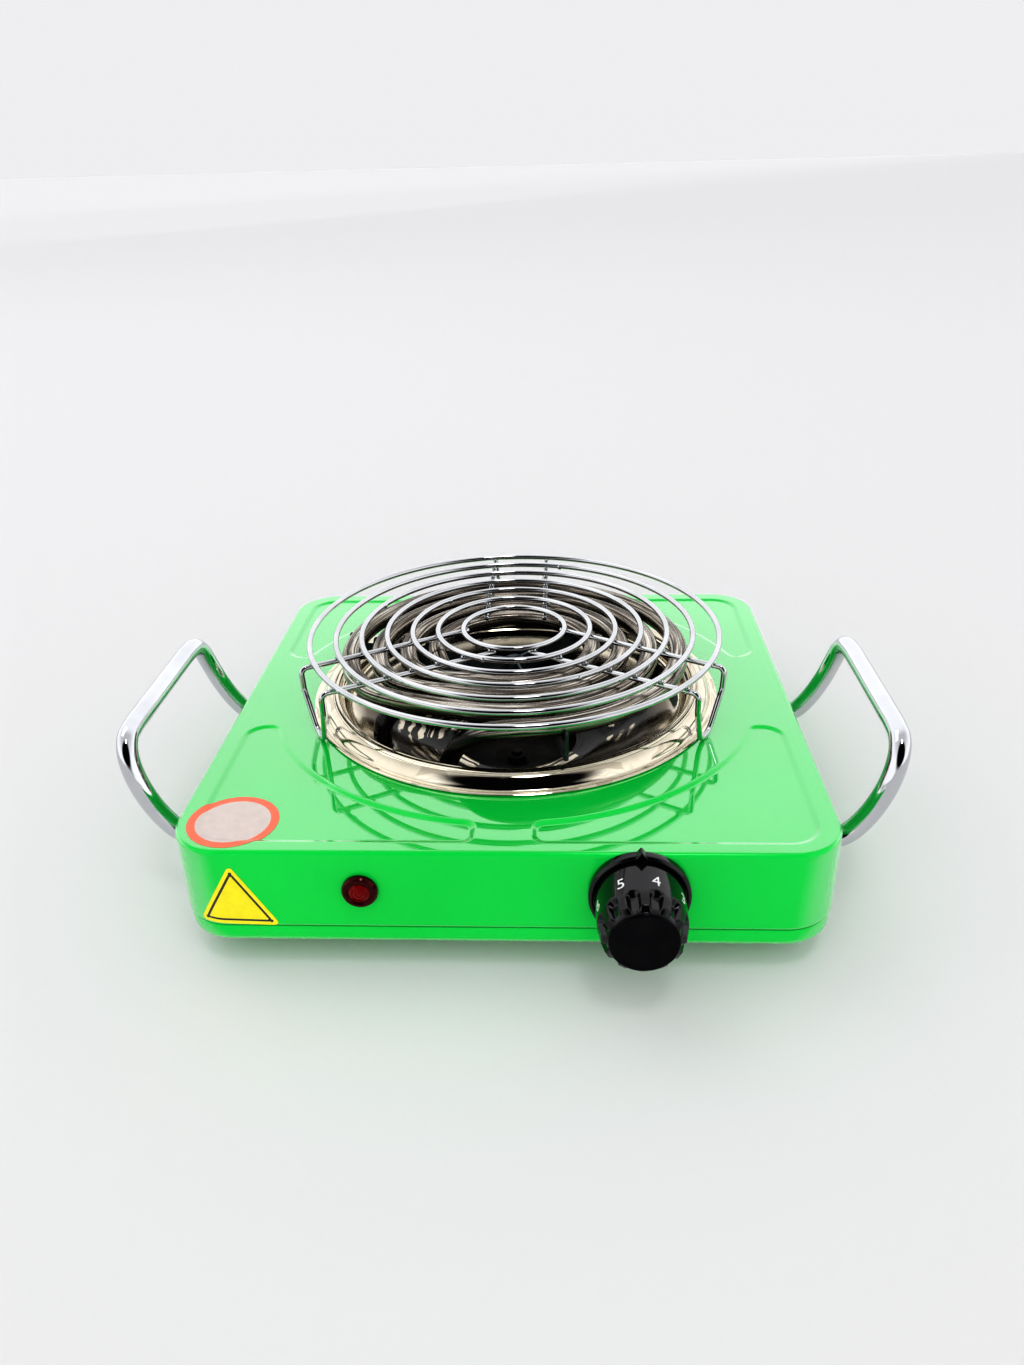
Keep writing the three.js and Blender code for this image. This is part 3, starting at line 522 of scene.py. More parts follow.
def sweep(path, section, closed=False, anchor=0, dome=0.0):
    """Verts and faces of a section carried along a path without twist, upright at the anchor point.

    An open path ends in domes of the given depth, or in flat caps."""
    n = len(path)
    tangents = []
    for i in range(n):
        a = path[(i - 1) % n] if closed or i > 0 else path[i]
        b = path[(i + 1) % n] if closed or i < n - 1 else path[i]
        tangents.append((b - a).normalized())
    up = Vector((0, 0, 1))
    ups = [None] * n
    ups[anchor] = (up - tangents[anchor] * up.dot(tangents[anchor])).normalized()
    order = [(i, i + 1) for i in range(anchor, n - 1)] + [(i, i - 1) for i in range(anchor, 0, -1)]
    for i, j in order:
        carried = tangents[i].rotation_difference(tangents[j]) @ ups[i]
        ups[j] = (carried - tangents[j] * carried.dot(tangents[j])).normalized()
    rings = []
    for p, t, u in zip(path, tangents, ups):
        side = t.cross(u)
        rings.append([p + side * a + u * b for a, b in section])
    if not closed and dome:
        rings = dome_rings(path, tangents, rings, dome)
    return skin(rings, closed, caps=not closed)


def dome_rings(path, tangents, rings, depth):
    """Adds shrinking rings past both ends of a bar."""
    steps = 4

    def cap(centre, direction, ring):
        made = []
        for k in range(1, steps + 1):
            a = k / (steps + 0.35) * math.pi / 2
            made.append([centre + (v - centre) * math.cos(a) + direction * depth * math.sin(a) for v in ring])
        return made

    first = cap(path[0], -tangents[0], rings[0])
    last = cap(path[-1], tangents[-1], rings[-1])
    return first[::-1] + rings + last


def skin(rings, closed, caps):
    """Quads between rings of equal length; each ring closes on itself."""
    count, m = len(rings), len(rings[0])
    verts = [v for ring in rings for v in ring]
    faces = []
    for i in range(count if closed else count - 1):
        low, high = i * m, (i + 1) % count * m
        for k in range(m):
            after = (k + 1) % m
            faces.append((low + k, low + after, high + after, high + k))
    if caps:
        faces += [tuple(range(m)), tuple(range((count - 1) * m, count * m))]
    return verts, faces


def strips(levels, caps=False):
    """Skin over loops given as (outline, z)."""
    return skin([[Vector((p.x, p.y, z)) for p in loop] for loop, z in levels], closed=False, caps=caps)


def lathe(profile, segments=64):
    """Verts and faces of [radius, height] points turned about Z. It ends on the axis or closes on itself."""
    verts, rows = [], []
    for r, z in profile:
        if r < 1e-6:
            rows.append([len(verts)] * segments)
            verts.append(Vector((0, 0, z)))
            continue
        rows.append(list(range(len(verts), len(verts) + segments)))
        verts += circle(r, segments, z)
    faces = []
    pairs = list(zip(rows, rows[1:]))
    if profile[0][0] > 1e-6:
        pairs.append((rows[-1], rows[0]))
    for low, high in pairs:
        for k in range(segments):
            after = (k + 1) % segments
            corners = tuple(dict.fromkeys((low[k], low[after], high[after], high[k])))
            if len(corners) > 2:
                faces.append(corners)
    return verts, faces


def soft_profile(points, radii):
    """A lathe profile with rounded corners; an open one starts and ends on the axis."""
    closed = points[0][0] > 1e-6
    return [(p.x, p.y) for p in rounded(points, radii, 4, closed=closed)]


def merged(*parts):
    """Several (verts, faces) as one."""
    verts, faces = [], []
    for some_verts, some_faces in parts:
        start = len(verts)
        verts.extend(some_verts)
        faces.extend(tuple(start + i for i in f) for f in some_faces)
    return verts, faces


def moved(part, matrix):
    verts, faces = part
    return [matrix @ Vector(v) for v in verts], faces


def plate(outline, z0, z1, bevel=0.0):
    """Verts and faces of a flat outline made thick, with its edges eased."""
    outline = [Vector((p[0], p[1], 0)) for p in outline]
    if not bevel:
        return strips([(outline, z0), (outline, z1)], caps=True)
    inner = offset(outline, bevel)
    inmost = offset(outline, bevel * 1.6)
    return strips([(inmost, z0), (inner, z0), (outline, z0 + bevel), (outline, z1 - bevel), (inner, z1),
                   (inmost, z1)], caps=True)


def offset(outline, distance):
    """Moves an anticlockwise outline inwards along its normals."""
    n = len(outline)
    made = []
    for i, p in enumerate(outline):
        a = p - outline[i - 1]
        b = outline[(i + 1) % n] - p
        na = Vector((-a.y, a.x, 0)).normalized()
        nb = Vector((-b.y, b.x, 0)).normalized()
        normal = na + nb
        normal /= max(0.3, normal.length_squared / 2)
        made.append(p + normal * distance)
    return made


def cut(obj, cutters, operation="DIFFERENCE"):
    """Boolean of an object with a list of (verts, faces) in metres, applied."""
    tool = added("cutter", outward("cutter", *merged(*cutters), weld=False))
    modifier = obj.modifiers.new("cut", "BOOLEAN")
    modifier.object = tool
    modifier.operation = operation
    modifier.solver = "EXACT"
    graph = bpy.context.evaluated_depsgraph_get()
    result = bpy.data.meshes.new_from_object(obj.evaluated_get(graph))
    obj.modifiers.clear()
    old = obj.data
    obj.data = result
    bpy.data.meshes.remove(old)
    bpy.data.objects.remove(tool)


def rod(radius, z0, z1, segments=32):
    return lathe([(0, z0), (radius, z0), (radius, z1), (0, z1)], segments)


# ------------------------------------------------------------------ top cover
PANEL_DROP = 0.8
PANEL_STEP = 2.5                       # width of the slope down to a panel
PANEL_LIP = 0.3                        # flat strips on both sides of the slope
PANEL_ARC = 100.0                      # the panels stop at this distance from the burner axis
PANEL_NEAR, PANEL_FAR = 9.4, 108.0     # the front panels run between these distances from the middle
PANEL_BACK_NEAR = 44.0
PANEL_FRONT_EDGE, PANEL_BACK_EDGE = 5.8, 6.6
PANEL_FRONT_END, PANEL_BACK_START = -25.7, 36.3
SHEET = 0.85
STEP_LEVELS = 8
BURNER_OFFSET = BURNER_Y - BODY_Y
BURNER_HOLE = 75.5
KNOB_HOLE, LAMP_HOLE, GLAND_HOLE, SCREW_HOLE = 5.1, 5.0, 6.0, 2.3
THROUGH = 5                            # a cutter reaches this far on both sides of a wall


def panel_outline(x_inner, y_outer, y_side, arc_corner):
    """Right-hand panel of the top, anticlockwise: outer edges straight, inner edge an arc."""
    toward = 1 if y_outer > 0 else -1
    arc_y = toward * math.sqrt(PANEL_ARC**2 - x_inner**2)
    x_side = math.sqrt(PANEL_ARC**2 - (y_side - BURNER_OFFSET) ** 2)
    a0 = math.atan2(arc_y, x_inner)
    a1 = math.atan2(y_side - BURNER_OFFSET, x_side)
    centre = Vector((0, BURNER_OFFSET, 0))
    arc = [centre + polar_3d(PANEL_ARC, a0 + (a1 - a0) * t) for t in np.linspace(0.09, 0.93, 40)]
    corners = [(x_inner, y_outer), (x_inner, BURNER_OFFSET + arc_y), *arc, (x_side, y_side),
               (PANEL_FAR, y_side), (PANEL_FAR, y_outer)]
    radii = [arc_corner, arc_corner, *[0] * len(arc), 5.0, 9.0, 12.0]
    return anticlockwise(rounded(corners, radii, 8, closed=True))


def mirrored(outline):
    return anticlockwise([Vector((-p.x, p.y, 0)) for p in outline])


FRONT_PANEL = panel_outline(PANEL_NEAR, -BACK + PANEL_FRONT_EDGE, PANEL_FRONT_END, 5.0)
BACK_PANEL = panel_outline(PANEL_BACK_NEAR, BACK - PANEL_BACK_EDGE, PANEL_BACK_START, 3.6)
PANELS = [FRONT_PANEL, mirrored(FRONT_PANEL), BACK_PANEL, mirrored(BACK_PANEL)]


def inside(outline, x, y):
    hit = False
    for a, b in zip(outline, outline[1:] + outline[:1]):
        if (a.y > y) != (b.y > y) and x < (b.x - a.x) * (y - a.y) / (b.y - a.y) + a.x:
            hit = not hit
    return hit


def relief(x, y):
    """How far the top face lies below the plane at a point of the body's plan."""
    for outline in PANELS:
        if inside(outline, x, y):
            p = Vector((x, y, 0))
            nearest = 1e9
            for a, b in zip(outline, outline[1:] + outline[:1]):
                d = b - a
                t = min(max((p - a).dot(d) / max(d.length_squared, 1e-9), 0), 1)
                nearest = min(nearest, (a + d * t - p).length)
            return PANEL_DROP * eased(nearest / PANEL_STEP)
    return 0.0


def flat_fill(loops, z, keep):
    """Triangles of a flat region between loops, where keep(x, y) says which ones stay."""
    points, edges = [], []
    for loop in loops:
        start = len(points)
        points.extend(Vector((p.x, p.y)) for p in loop)
        edges.extend((start + i, start + (i + 1) % len(loop)) for i in range(len(loop)))
    out_verts, _, out_faces, _, _, _ = delaunay_2d_cdt(points, edges, [], 0, 1e-5)
    faces = []
    for f in out_faces:
        centre = sum((out_verts[i] for i in f), Vector((0, 0))) / len(f)
        if keep(centre.x, centre.y):
            faces.append(tuple(f))
    return [Vector((v.x, v.y, z)) for v in out_verts], faces


def ring_at(radius):
    return [p + Vector((0, BURNER_OFFSET, 0)) for p in circle(radius, 160)]


def plan(inset):
    """Outline of the body, a distance inside its walls, with a point on the straights beside each corner."""
    x, y = SIDE - inset, BACK - inset
    return rounded([(x, -y), (x, y), (-x, y), (-x, -y)], CORNER - inset, 12, closed=True, support=1.5)


def on_body(x, y, z=0.0):
    return BODY_AT @ Matrix.Translation((x, y, z))


def top_cover():
    bottom, under = cover_lo.z, TOP - PANEL_DROP - SHEET
    edge = [(FILLET + 0.4, TOP)]
    edge += [(FILLET * (1 - s), TOP - FILLET * (1 - c)) for s, c in quarter(8)]
    edge += [(0, TOP - FILLET - 0.4), (0, bottom + 0.9), (0, bottom + 0.35), (0.12, bottom + 0.1),
             (0.38, bottom), (0.65, bottom + 0.1), (SHEET, bottom + 0.35), (SHEET, TOP - FILLET),
             (FILLET, under)]
    mouth = [(0, under), (0, TOP - 0.5), (0.15, TOP - 0.15), (0.5, TOP), (0.9, TOP)]
    parts = [strips([(plan(inset), z) for inset, z in edge]),
             strips([(ring_at(BURNER_HOLE + wider), z) for wider, z in mouth])]
    floor_z = TOP - PANEL_DROP
    outer_loops = [offset(outline, -PANEL_LIP) for outline in PANELS]
    for outline, outer in zip(PANELS, outer_loops):
        floor_loop = offset(outline, PANEL_STEP + PANEL_LIP)
        slope = [(offset(outline, PANEL_STEP * k / STEP_LEVELS), TOP - PANEL_DROP * eased(k / STEP_LEVELS))
                 for k in range(STEP_LEVELS + 1)]
        parts.append(strips([(outer, TOP), *slope, (floor_loop, floor_z)]))
        parts.append(flat_fill([floor_loop], floor_z, lambda x, y, o=floor_loop: inside(o, x, y)))
    rim, mouth_top = plan(FILLET + 0.4), ring_at(BURNER_HOLE + 0.9)
    lower, hole = plan(FILLET), ring_at(BURNER_HOLE)

    def on_top(x, y):
        if not inside(rim, x, y) or inside(mouth_top, x, y):
            return False
        return not any(inside(o, x, y) for o in outer_loops)

    def on_underside(x, y):
        return inside(lower, x, y) and not inside(hole, x, y)

    parts.append(flat_fill([rim, mouth_top, *outer_loops], TOP, on_top))
    parts.append(flat_fill([lower, hole], under, on_underside))
    cover = piece("cover_shell", *merged(*parts), BODY_AT, "root", "enamel_green", ["top_cover"])
    cutters = []
    for radius, at in ((KNOB_HOLE, KNOB_AT), (LAMP_HOLE, LAMP_AT), (GLAND_HOLE, GLAND_AT)):
        cutters.append(moved(rod(radius, -THROUGH, THROUGH), at))
    for side in (-1, 1):
        for y in (HANDLE_Y - HANDLE_HALF, HANDLE_Y + HANDLE_HALF):
            at = on_body(side * SIDE, y, TOP + HANDLE_Z) @ turned(90, "Y")
            cutters.append(moved(rod(SCREW_HOLE, -THROUGH, THROUGH, 20), at))
    cut(cover, cutters)
    smooth(cover, 32)


# ------------------------------------------------------------------ bottom tray and feet
TRAY_INSET = 0.6
TRAY_SHEET = 1.0
TRAY_FILLET = 2.6
JOGGLE = 2.4                           # the tray's wall steps in under the cover's edge
SLOTS, SLOT_PITCH, SLOT_Y = 5, 12, 62
SLOT_HALF_LENGTH, SLOT_HALF_WIDTH = 12, 2
FOOT_HOLE, SHIELD_BOLT_HOLE = 2.3, 2.6
SCREW_X, SCREW_Y = 98.0, 94.0
FOOT_X, FOOT_Y = 80.0, 78.0
TAB_Z = 30.0
CORNERS = {"front_left": (-1, -1), "front_right": (1, -1), "back_left": (-1, 1), "back_right": (1, 1)}


def slot_outline(x, y):
    """A vent slot that runs from front to back, round at both ends."""
    reflection_arcs = []
    for k in range(17):
        end = polar_3d(SLOT_HALF_WIDTH, math.pi * k / 16)
        reflection_arcs.append((end.x, SLOT_HALF_LENGTH - SLOT_HALF_WIDTH + end.y))
    points = reflection_arcs + [(-px, -py) for px, py in reflection_arcs]
    return anticlockwise([Vector((x + px, y + py, 0)) for px, py in points])


def bottom_tray():
    low, high = tray_lo.z, tray_hi.z
    step = cover_lo.z - 0.8
    lap = TRAY_INSET + JOGGLE
    inner, inner_lap = TRAY_INSET + TRAY_SHEET, lap + TRAY_SHEET
    levels = [(TRAY_INSET + TRAY_FILLET + 0.4, low)]
    levels += [(TRAY_INSET + TRAY_FILLET * (1 - s), low + TRAY_FILLET * (1 - c)) for s, c in quarter(6)]
    levels += [(TRAY_INSET, low + TRAY_FILLET + 0.4), (TRAY_INSET, step - 0.5),
               (TRAY_INSET + 0.15, step - 0.15), (TRAY_INSET + 0.5, step), (lap - 0.1, step),
               (lap, step + 0.2), (lap, high - 0.2), (lap + 0.2, high), (inner_lap - 0.2, high),
               (inner_lap, high - 0.2), (inner_lap, step - TRAY_SHEET + 0.2),
               (inner_lap - 0.2, step - TRAY_SHEET), (inner, step - TRAY_SHEET - 0.4),
               (inner, low + TRAY_FILLET), (TRAY_INSET + TRAY_FILLET, low + TRAY_SHEET)]
    shell = strips([(plan(inset), z) for inset, z in levels], caps=True)
    tray = piece("tray_shell", *shell, BODY_AT, "root", "enamel_green", ["bottom_tray"])
    boss = [(0, low + 0.4), (6.4, low + 0.4), (5.6, TAB_Z - 0.3), (0, TAB_Z - 0.3)]
    well = [(0, low - 1), (6.2, low - 1), (5.4, low + 0.6), (4.6, TAB_Z - 2), (1.9, TAB_Z - 2),
            (1.9, TAB_Z + 1), (0, TAB_Z + 1)]
    bosses, wells = [], []
    for sx, sy in CORNERS.values():
        at = on_body(sx * SCREW_X, sy * SCREW_Y)
        bosses.append(moved(lathe(boss, 40), at))
        wells.append(moved(lathe(well, 40), at))
        wells.append(moved(rod(FOOT_HOLE, low - 2, low + 3, 20), on_body(sx * FOOT_X, sy * FOOT_Y)))
    wells.append(moved(rod(SHIELD_BOLT_HOLE, low - 2, low + 3, 24), placed(0, BURNER_Y, 0)))
    for side in (-1, 1):
        for i in range(SLOTS):
            outline = slot_outline((i - SLOTS // 2) * SLOT_PITCH, side * SLOT_Y)
            wells.append(moved(plate(outline, low - 2, low + 3), BODY_AT))
    cut(tray, bosses, "UNION")
    cut(tray, wells)
    smooth(tray, 32)


def feet_and_screws():
    under = tray_lo.z - 0.3
    foot = soft_profile([(0, 0.5), (4.5, 0.5), (5.2, 0), (8, 0), (8.8, 1.4), (9.6, under), (1.9, under),
                         (1.9, under + 1.8), (3.3, under + 1.8), (2.2, under + 3.8), (0, under + 3.8)],
                        [0, 0.3, 0.3, 0.6, 1.0, 0.6, 0, 0, 0.4, 0.4, 0])
    head = TAB_Z - 2.3
    screw = soft_profile([(0, head - 2), (2.4, head - 2), (3.4, head - 1), (3.4, head), (1.5, head),
                          (1.5, TAB_Z + 6), (0, TAB_Z + 6.8)], [0, 0.7, 0.4, 0, 0, 0, 0])
    for place, (sx, sy) in CORNERS.items():
        at = on_body(sx * FOOT_X, sy * FOOT_Y)
        piece(f"rubber_foot_{place}", *lathe(foot, 48), at, "root", "rubber", [f"foot_{place}"])
        at = on_body(sx * SCREW_X, sy * SCREW_Y)
        made = piece(f"case_screw_{place}", *lathe(screw, 32), at, "root", "zinc", [f"tray_screw_{place}"])
        for wide, deep in ((2.0, 0.35), (0.35, 2.0)):
            outline = [(-wide, -deep), (wide, -deep), (wide, deep), (-wide, deep)]
            cut(made, [moved(plate(outline, head - 3, head - 0.8), at)])
        smooth(made, 32)


# ------------------------------------------------------------------ drip pan, coil and support
LEG_RADIUS, LEG_A, LEG_B = 65.0, -112.0, 217.0      # the coil's legs: reach and the azimuth of each
LEG_HOLE = 6.0
COIL_OUTER, COIL_PITCH, COIL_TURNS = 68.7, 12.0, 4
GRAIN_STEP = 0.008                     # how far the streaks' pattern moves on from ring to ring of the tube
BLADE_HALF = 0.55


def polar(r, degrees, z=0.0):
    return polar_3d(r, math.radians(degrees), z)


def leg_at(azimuth):
    """Where a leg of the coil stands."""
    return BURNER_AT @ Matrix.Translation(polar(LEG_RADIUS, azimuth))


def drip_pan():
    face = [(85.4, 0.75), (84.7, 1.25), (83.9, 1.05), (83.2, 0.95), (82.6, 1.3), (81.7, 2.9), (80.6, 4.4),
            (79.3, 5.5), (77.8, 6.05), (76.9, 5.95), (76.3, 5.6), (75.7, 5.75), (75.1, 5.7), (74.6, 5.1),
            (74.1, 3.9), (73.4, 3.2), (72.9, 2.6), (72.2, -1.0), (70.6, -3.6), (66.5, -6.6), (60, -11.2),
            (53, -15.6), (46, -19.0), (41, -21.0), (36, -22.6), (31, -23.6), (28, -24), (26.6, -24.3),
            (26, -24.9)]
    back = [(26.4, -25.3), (31, -24.4), (36.2, -23.4), (46.5, -19.8), (53.5, -16.3), (60.6, -11.9),
            (67, -7.3), (71.2, -4.2), (72.9, -1.2), (74.0, 2.6), (75.2, 4.6), (76.4, 5.2), (78.3, 5.1),
            (80.2, 3.9), (81.6, 1.4), (82.4, 0.6), (84, 0.4), (85.3, 0.4)]
    profile = [(p.x, p.y) for p in catmull([(r, z, 0) for r, z in face], 0.45)] + back
    pan = piece("burner_pan", *lathe(profile, 256), BURNER_AT, "root", "stainless", ["drip_pan"], sharp=50)
    cut(pan, [moved(rod(LEG_HOLE, -20, 3, 40), leg_at(azimuth)) for azimuth in (LEG_A, LEG_B)])
    smooth(pan, 50)


def coil_centreline():
    """Up the outer leg, round four turns with a short jog between them, under them and down the inner leg."""
    points = [(LEG_RADIUS, LEG_A, -24), (LEG_RADIUS, LEG_A, -14), (LEG_RADIUS, LEG_A, -5), (65.8, -109.6, 3),
              (67, -105.5, 10), (68.3, -98, 16.2)]
    jog_start, jog_end = 205, 360 + LEG_A + 3
    for turn in range(COIL_TURNS):
        r = COIL_OUTER - turn * COIL_PITCH
        last = turn == COIL_TURNS - 1
        a = -88 if turn == 0 else jog_end - 360 + 7
        while a < (185 if last else jog_start):
            points.append((r, a, COIL_Z))
            a += 13
        if not last:
            for t in (0, 0.25, 0.5, 0.75, 1):
                points.append((r - COIL_PITCH * eased(t), jog_start + (jog_end - jog_start) * t, COIL_Z))
    points += [(32.5, 192, 18.1), (31.5, 202, 15), (31.5, 211, 11.8), (34.5, 219, 10.3), (41, 222, 10.2),
               (50, 220.5, 10.2), (58.5, 218.5, 9), (63.6, 217.3, 4.5), (LEG_RADIUS, LEG_B, -5),
               (LEG_RADIUS, LEG_B, -14), (LEG_RADIUS, LEG_B, -24)]
    return catmull([polar(*p) for p in points], 1.6)


def coil_section():
    """Tube rolled flat on top: a half round below and a squarer arch above."""
    radius, rise, power = 3.78, 3.3, 2 / 3.0
    points = []
    for i in range(28):
        a = TAU * i / 28
        c, s = math.cos(a), math.sin(a)
        if s <= 0:
            points.append((radius * c, radius * s))
        else:
            points.append((radius * math.copysign(abs(c) ** power, c), rise * s**power))
    return points


def heating_coil():
    path = coil_centreline()
    section = coil_section()
    stud = lathe(soft_profile([(0, -32), (1.8, -32), (1.8, -23.5), (0, -23.5)], [0, 0.4, 0, 0]), 24)
    parts = [sweep(path, section, anchor=len(path) // 3, dome=1.2)]
    for azimuth in (LEG_A, LEG_B):
        parts.append(moved(stud, Matrix.Translation(polar(LEG_RADIUS, azimuth))))
    coil = piece("spiral_coil", *merged(*parts), BURNER_AT, "root", "coil_steel", ["heating_coil"], sharp=60)
    store_grain(coil, len(section))


def store_grain(obj, sides):
    """Keeps each vertex's place round the tube and along it, for streaks that follow the tube."""
    values = []
    for i in range(len(obj.data.vertices)):
        a = TAU * (i % sides) / sides
        values += [math.cos(a), math.sin(a), i // sides * GRAIN_STEP]
    obj.data.attributes.new("grain", "FLOAT_VECTOR", "POINT").data.foreach_set("vector", values)


def support_blade():
    """One upright arm: a foot on the pan's rim, a hook outside the coil and clips between its turns."""
    top, clip = 14.3, 17.6
    outline = [(0, 6), (46, 6), (56, 9.5), (72.6, 5.6), (75, 6.9), (75.2, 18.2), (74.6, 19), (73.6, 18.2),
               (73.3, top)]
    for gap in (62.7, 50.7, 38.7):
        outline += [(gap + 1.9, top), (gap + 1.2, clip), (gap - 1.2, clip), (gap - 1.9, top)]
    outline += [(0, top)]
    radii = [0, 1.5, 3, 0.9, 0.8, 0.5, 0.3, 0.5, 0.8] + [0.8, 1.0, 1.0, 0.8] * 3 + [0]
    points = rounded(outline, radii, 4, closed=True)
    return moved(plate(anticlockwise(points), -BLADE_HALF, BLADE_HALF, 0.12), turned(90, "X"))


def coil_support():
    blade = support_blade()
    arms = [moved(blade, turned(a)) for a in (-73, 47, 167)]
    hub = lathe(soft_profile([(0, 6), (4, 6), (4, 14.3), (0, 14.3)], [0, 0.4, 0.4, 0]), 32)
    piece("coil_spider", *merged(hub, *arms), BURNER_AT, "root", "dark_steel", ["coil_support"], sharp=25)


def coil_bushes():
    bush = soft_profile([(4.2, -17), (5.7, -17), (5.7, -6), (4.2, -6)], 0.5)
    for place, azimuth in (("front", LEG_A), ("left", LEG_B)):
        name, nodes = f"ceramic_bush_{place}", [f"coil_bush_{place}"]
        piece(name, *lathe(bush, 40), leg_at(azimuth), "root", "ceramic", nodes)


def heat_shield():
    shield_lo, shield_hi = (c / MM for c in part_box("heat_shield"))
    profile = [(2.6, 0), (6, 0), (10, 2.3), (22, 2.3), (24, 1.9), (26, 2.3), (46, 2.3), (50, 5.3),
               (49.6, 5.9), (45.6, 3.1), (26, 3.1), (24, 2.7), (22, 3.1), (9.7, 3.1), (5.7, 0.8), (2.6, 0.8)]
    dish = lathe(soft_profile(profile, [0, 1, 1, .6, .6, .6, 1, .1, .1, 1, .6, .6, .6, 1, 1, 0]), 96)
    at = placed(0, BURNER_Y, shield_lo.z)
    # painted shade: the dish under the coil is coloured near black
    piece("heat_dish", *dish, at, "root", "dark_steel", ["heat_shield"], materials=[BURNT_SHADE])


# ------------------------------------------------------------------ wire grate
WIRE = 1.1
RING_WIRE = 1.25
RING_COUNT = 7
RING_PITCH = 10.57
GRATE_Z = 28.4
RUN_HALF = 12.5
RUN_Z = GRATE_Z - WIRE - RING_WIRE - 0.3           # the runs hang a weld's gap below the rings
RING_TRIM, HANDLE_TRIM = 0.07, 0.16    # keep round tubes inside the flat sides of the CAD ones
LEG_AZIMUTHS = {"back": 90, "left": 210, "right": 330}
BUTT_WELDS = [20, 250, 135, 300, 157, 75, 222]     # where each ring's ends meet, degrees


def grate_rings():
    wide = RING_WIRE + 0.1
    bead = lathe(soft_profile([(0, -1.5), (wide, -0.7), (wide + 0.05, 0), (wide, 0.7), (0, 1.5)],
                              [0, .5, .3, .5, 0]), 18)
    for i in range(1, RING_COUNT + 1):
        radius = (i + 1) * RING_PITCH
        count = 72 + 16 * i
        seam = BUTT_WELDS[i - 1]
        path = [polar(radius, seam + 360 * k / count, GRATE_Z) for k in range(count)]
        wire = sweep(path, circle_section(RING_WIRE - RING_TRIM, 18), closed=True)
        at = Matrix.Translation(polar(radius, seam, GRATE_Z - 0.26)) @ turned(seam) @ turned(90, "X")
        part = merged(wire, moved(bead, at))
        piece(f"ring_wire_{i}", *part, BURNER_AT, "grate", "chrome", [f"grate_ring_{i}"], sharp=60,
              materials=[WIRE_CHROME])


def leg_centreline():
    """Two runs under the rings, bent down sharply, drawn together below a kink and joined in a round foot."""
    half = [(15.5, RUN_HALF, RUN_Z), (88.7, RUN_HALF, RUN_Z), (88.5, 11.9, 17.0), (87.1, 4.2, 1.42)]
    other = [(u, -v, z) for u, v, z in half[::-1]]
    return rounded(half + other, [0, 2.4, 5.0, 5.5, 5.5, 5.0, 2.4, 0], 10)


def dense(points, spacing):
    made = [points[0]]
    for a, b in zip(points, points[1:]):
        count = max(1, round((b - a).length / spacing))
        made.extend(a.lerp(b, k / count) for k in range(1, count + 1))
    return made


def weld_blob(radius, azimuth_v):
    """Flattened bead where a ring crosses a run."""
    u = math.sqrt(radius**2 - azimuth_v**2)
    profile = soft_profile([(0, -1.0), (0.95, -0.75), (1.25, 0), (0.95, 0.75), (0, 1.0)], [0, .4, .5, .4, 0])
    stretch = Matrix.Diagonal((1.15, 0.95, 1.0, 1.0))
    return moved(lathe(profile, 14), Matrix.Translation((u, azimuth_v, (GRATE_Z + RUN_Z) / 2)) @ stretch)


def grate_legs():
    wire = sweep(dense(leg_centreline(), 2.0), circle_section(WIRE, 18), anchor=2, dome=0.5)
    blobs = [weld_blob((i + 1) * RING_PITCH, v)
             for i in range(1, RING_COUNT + 1) for v in (-RUN_HALF, RUN_HALF)]
    part = merged(wire, *blobs)
    for place, azimuth in LEG_AZIMUTHS.items():
        piece(f"leg_wire_{place}", *part, BURNER_AT @ turned(azimuth), "grate", "chrome",
              [f"grate_leg_{place}"], sharp=60, materials=[WIRE_CHROME])


# ------------------------------------------------------------------ handles
HANDLE_Y, HANDLE_HALF, HANDLE_Z = -25.7, 47.0, -21.0
HANDLE_REACH, HANDLE_RISE, HANDLE_RADIUS = 141.0, 17.2, 4.0


def handle_centreline():
    profile = [(SIDE + 0.3, HANDLE_Z), (119, HANDLE_Z), (124.3, -18.8), (129.6, -12.6)]
    leg = [(x, HANDLE_HALF, z) for x, z in profile]
    bend = [(134.2, HANDLE_HALF - 0.2, -4), (137.4, HANDLE_HALF - 1, 5), (139.2, HANDLE_HALF - 3.2, 12.4),
            (140.2, HANDLE_HALF - 7.6, 16.3), (140.8, HANDLE_HALF - 15, HANDLE_RISE),
            (HANDLE_REACH, HANDLE_HALF - 27, HANDLE_RISE)]
    near = leg + bend
    far = [(x, -y, z) for x, y, z in near[::-1]]
    return catmull(near + [(HANDLE_REACH, 0, HANDLE_RISE)] + far, 1.2)


def handles():
    tube = sweep(handle_centreline(), circle_section(HANDLE_RADIUS - HANDLE_TRIM, 32))
    for side, turn in (("right", 0), ("left", 180)):
        at = placed(0, BODY_Y + HANDLE_Y, TOP) @ turned(turn)
        piece(f"grab_bar_{side}", *tube, at, "root", "chrome", [f"handle_{side}"], sharp=50)


# ------------------------------------------------------------------ knob, bezel and lamp
RIBS = 12
REST_SETTING = 4.36                    # the knob stands between 4 and 5
DIGIT_STEP = 45.0
DIGIT_SIZE = 6.3
DIGIT_H = 12.3                         # middle of the digits in front of the cover
KNOB_BORE, KNOB_BORE_END, KNOB_BACK = 3.35, 20, 4.2
FACE_RADIUS, FACE_ROUND, FACE_SINK = 11.5, 0.9, 0.12
BEZEL_RADIUS, BEZEL_BORE = 17.15, 8.8


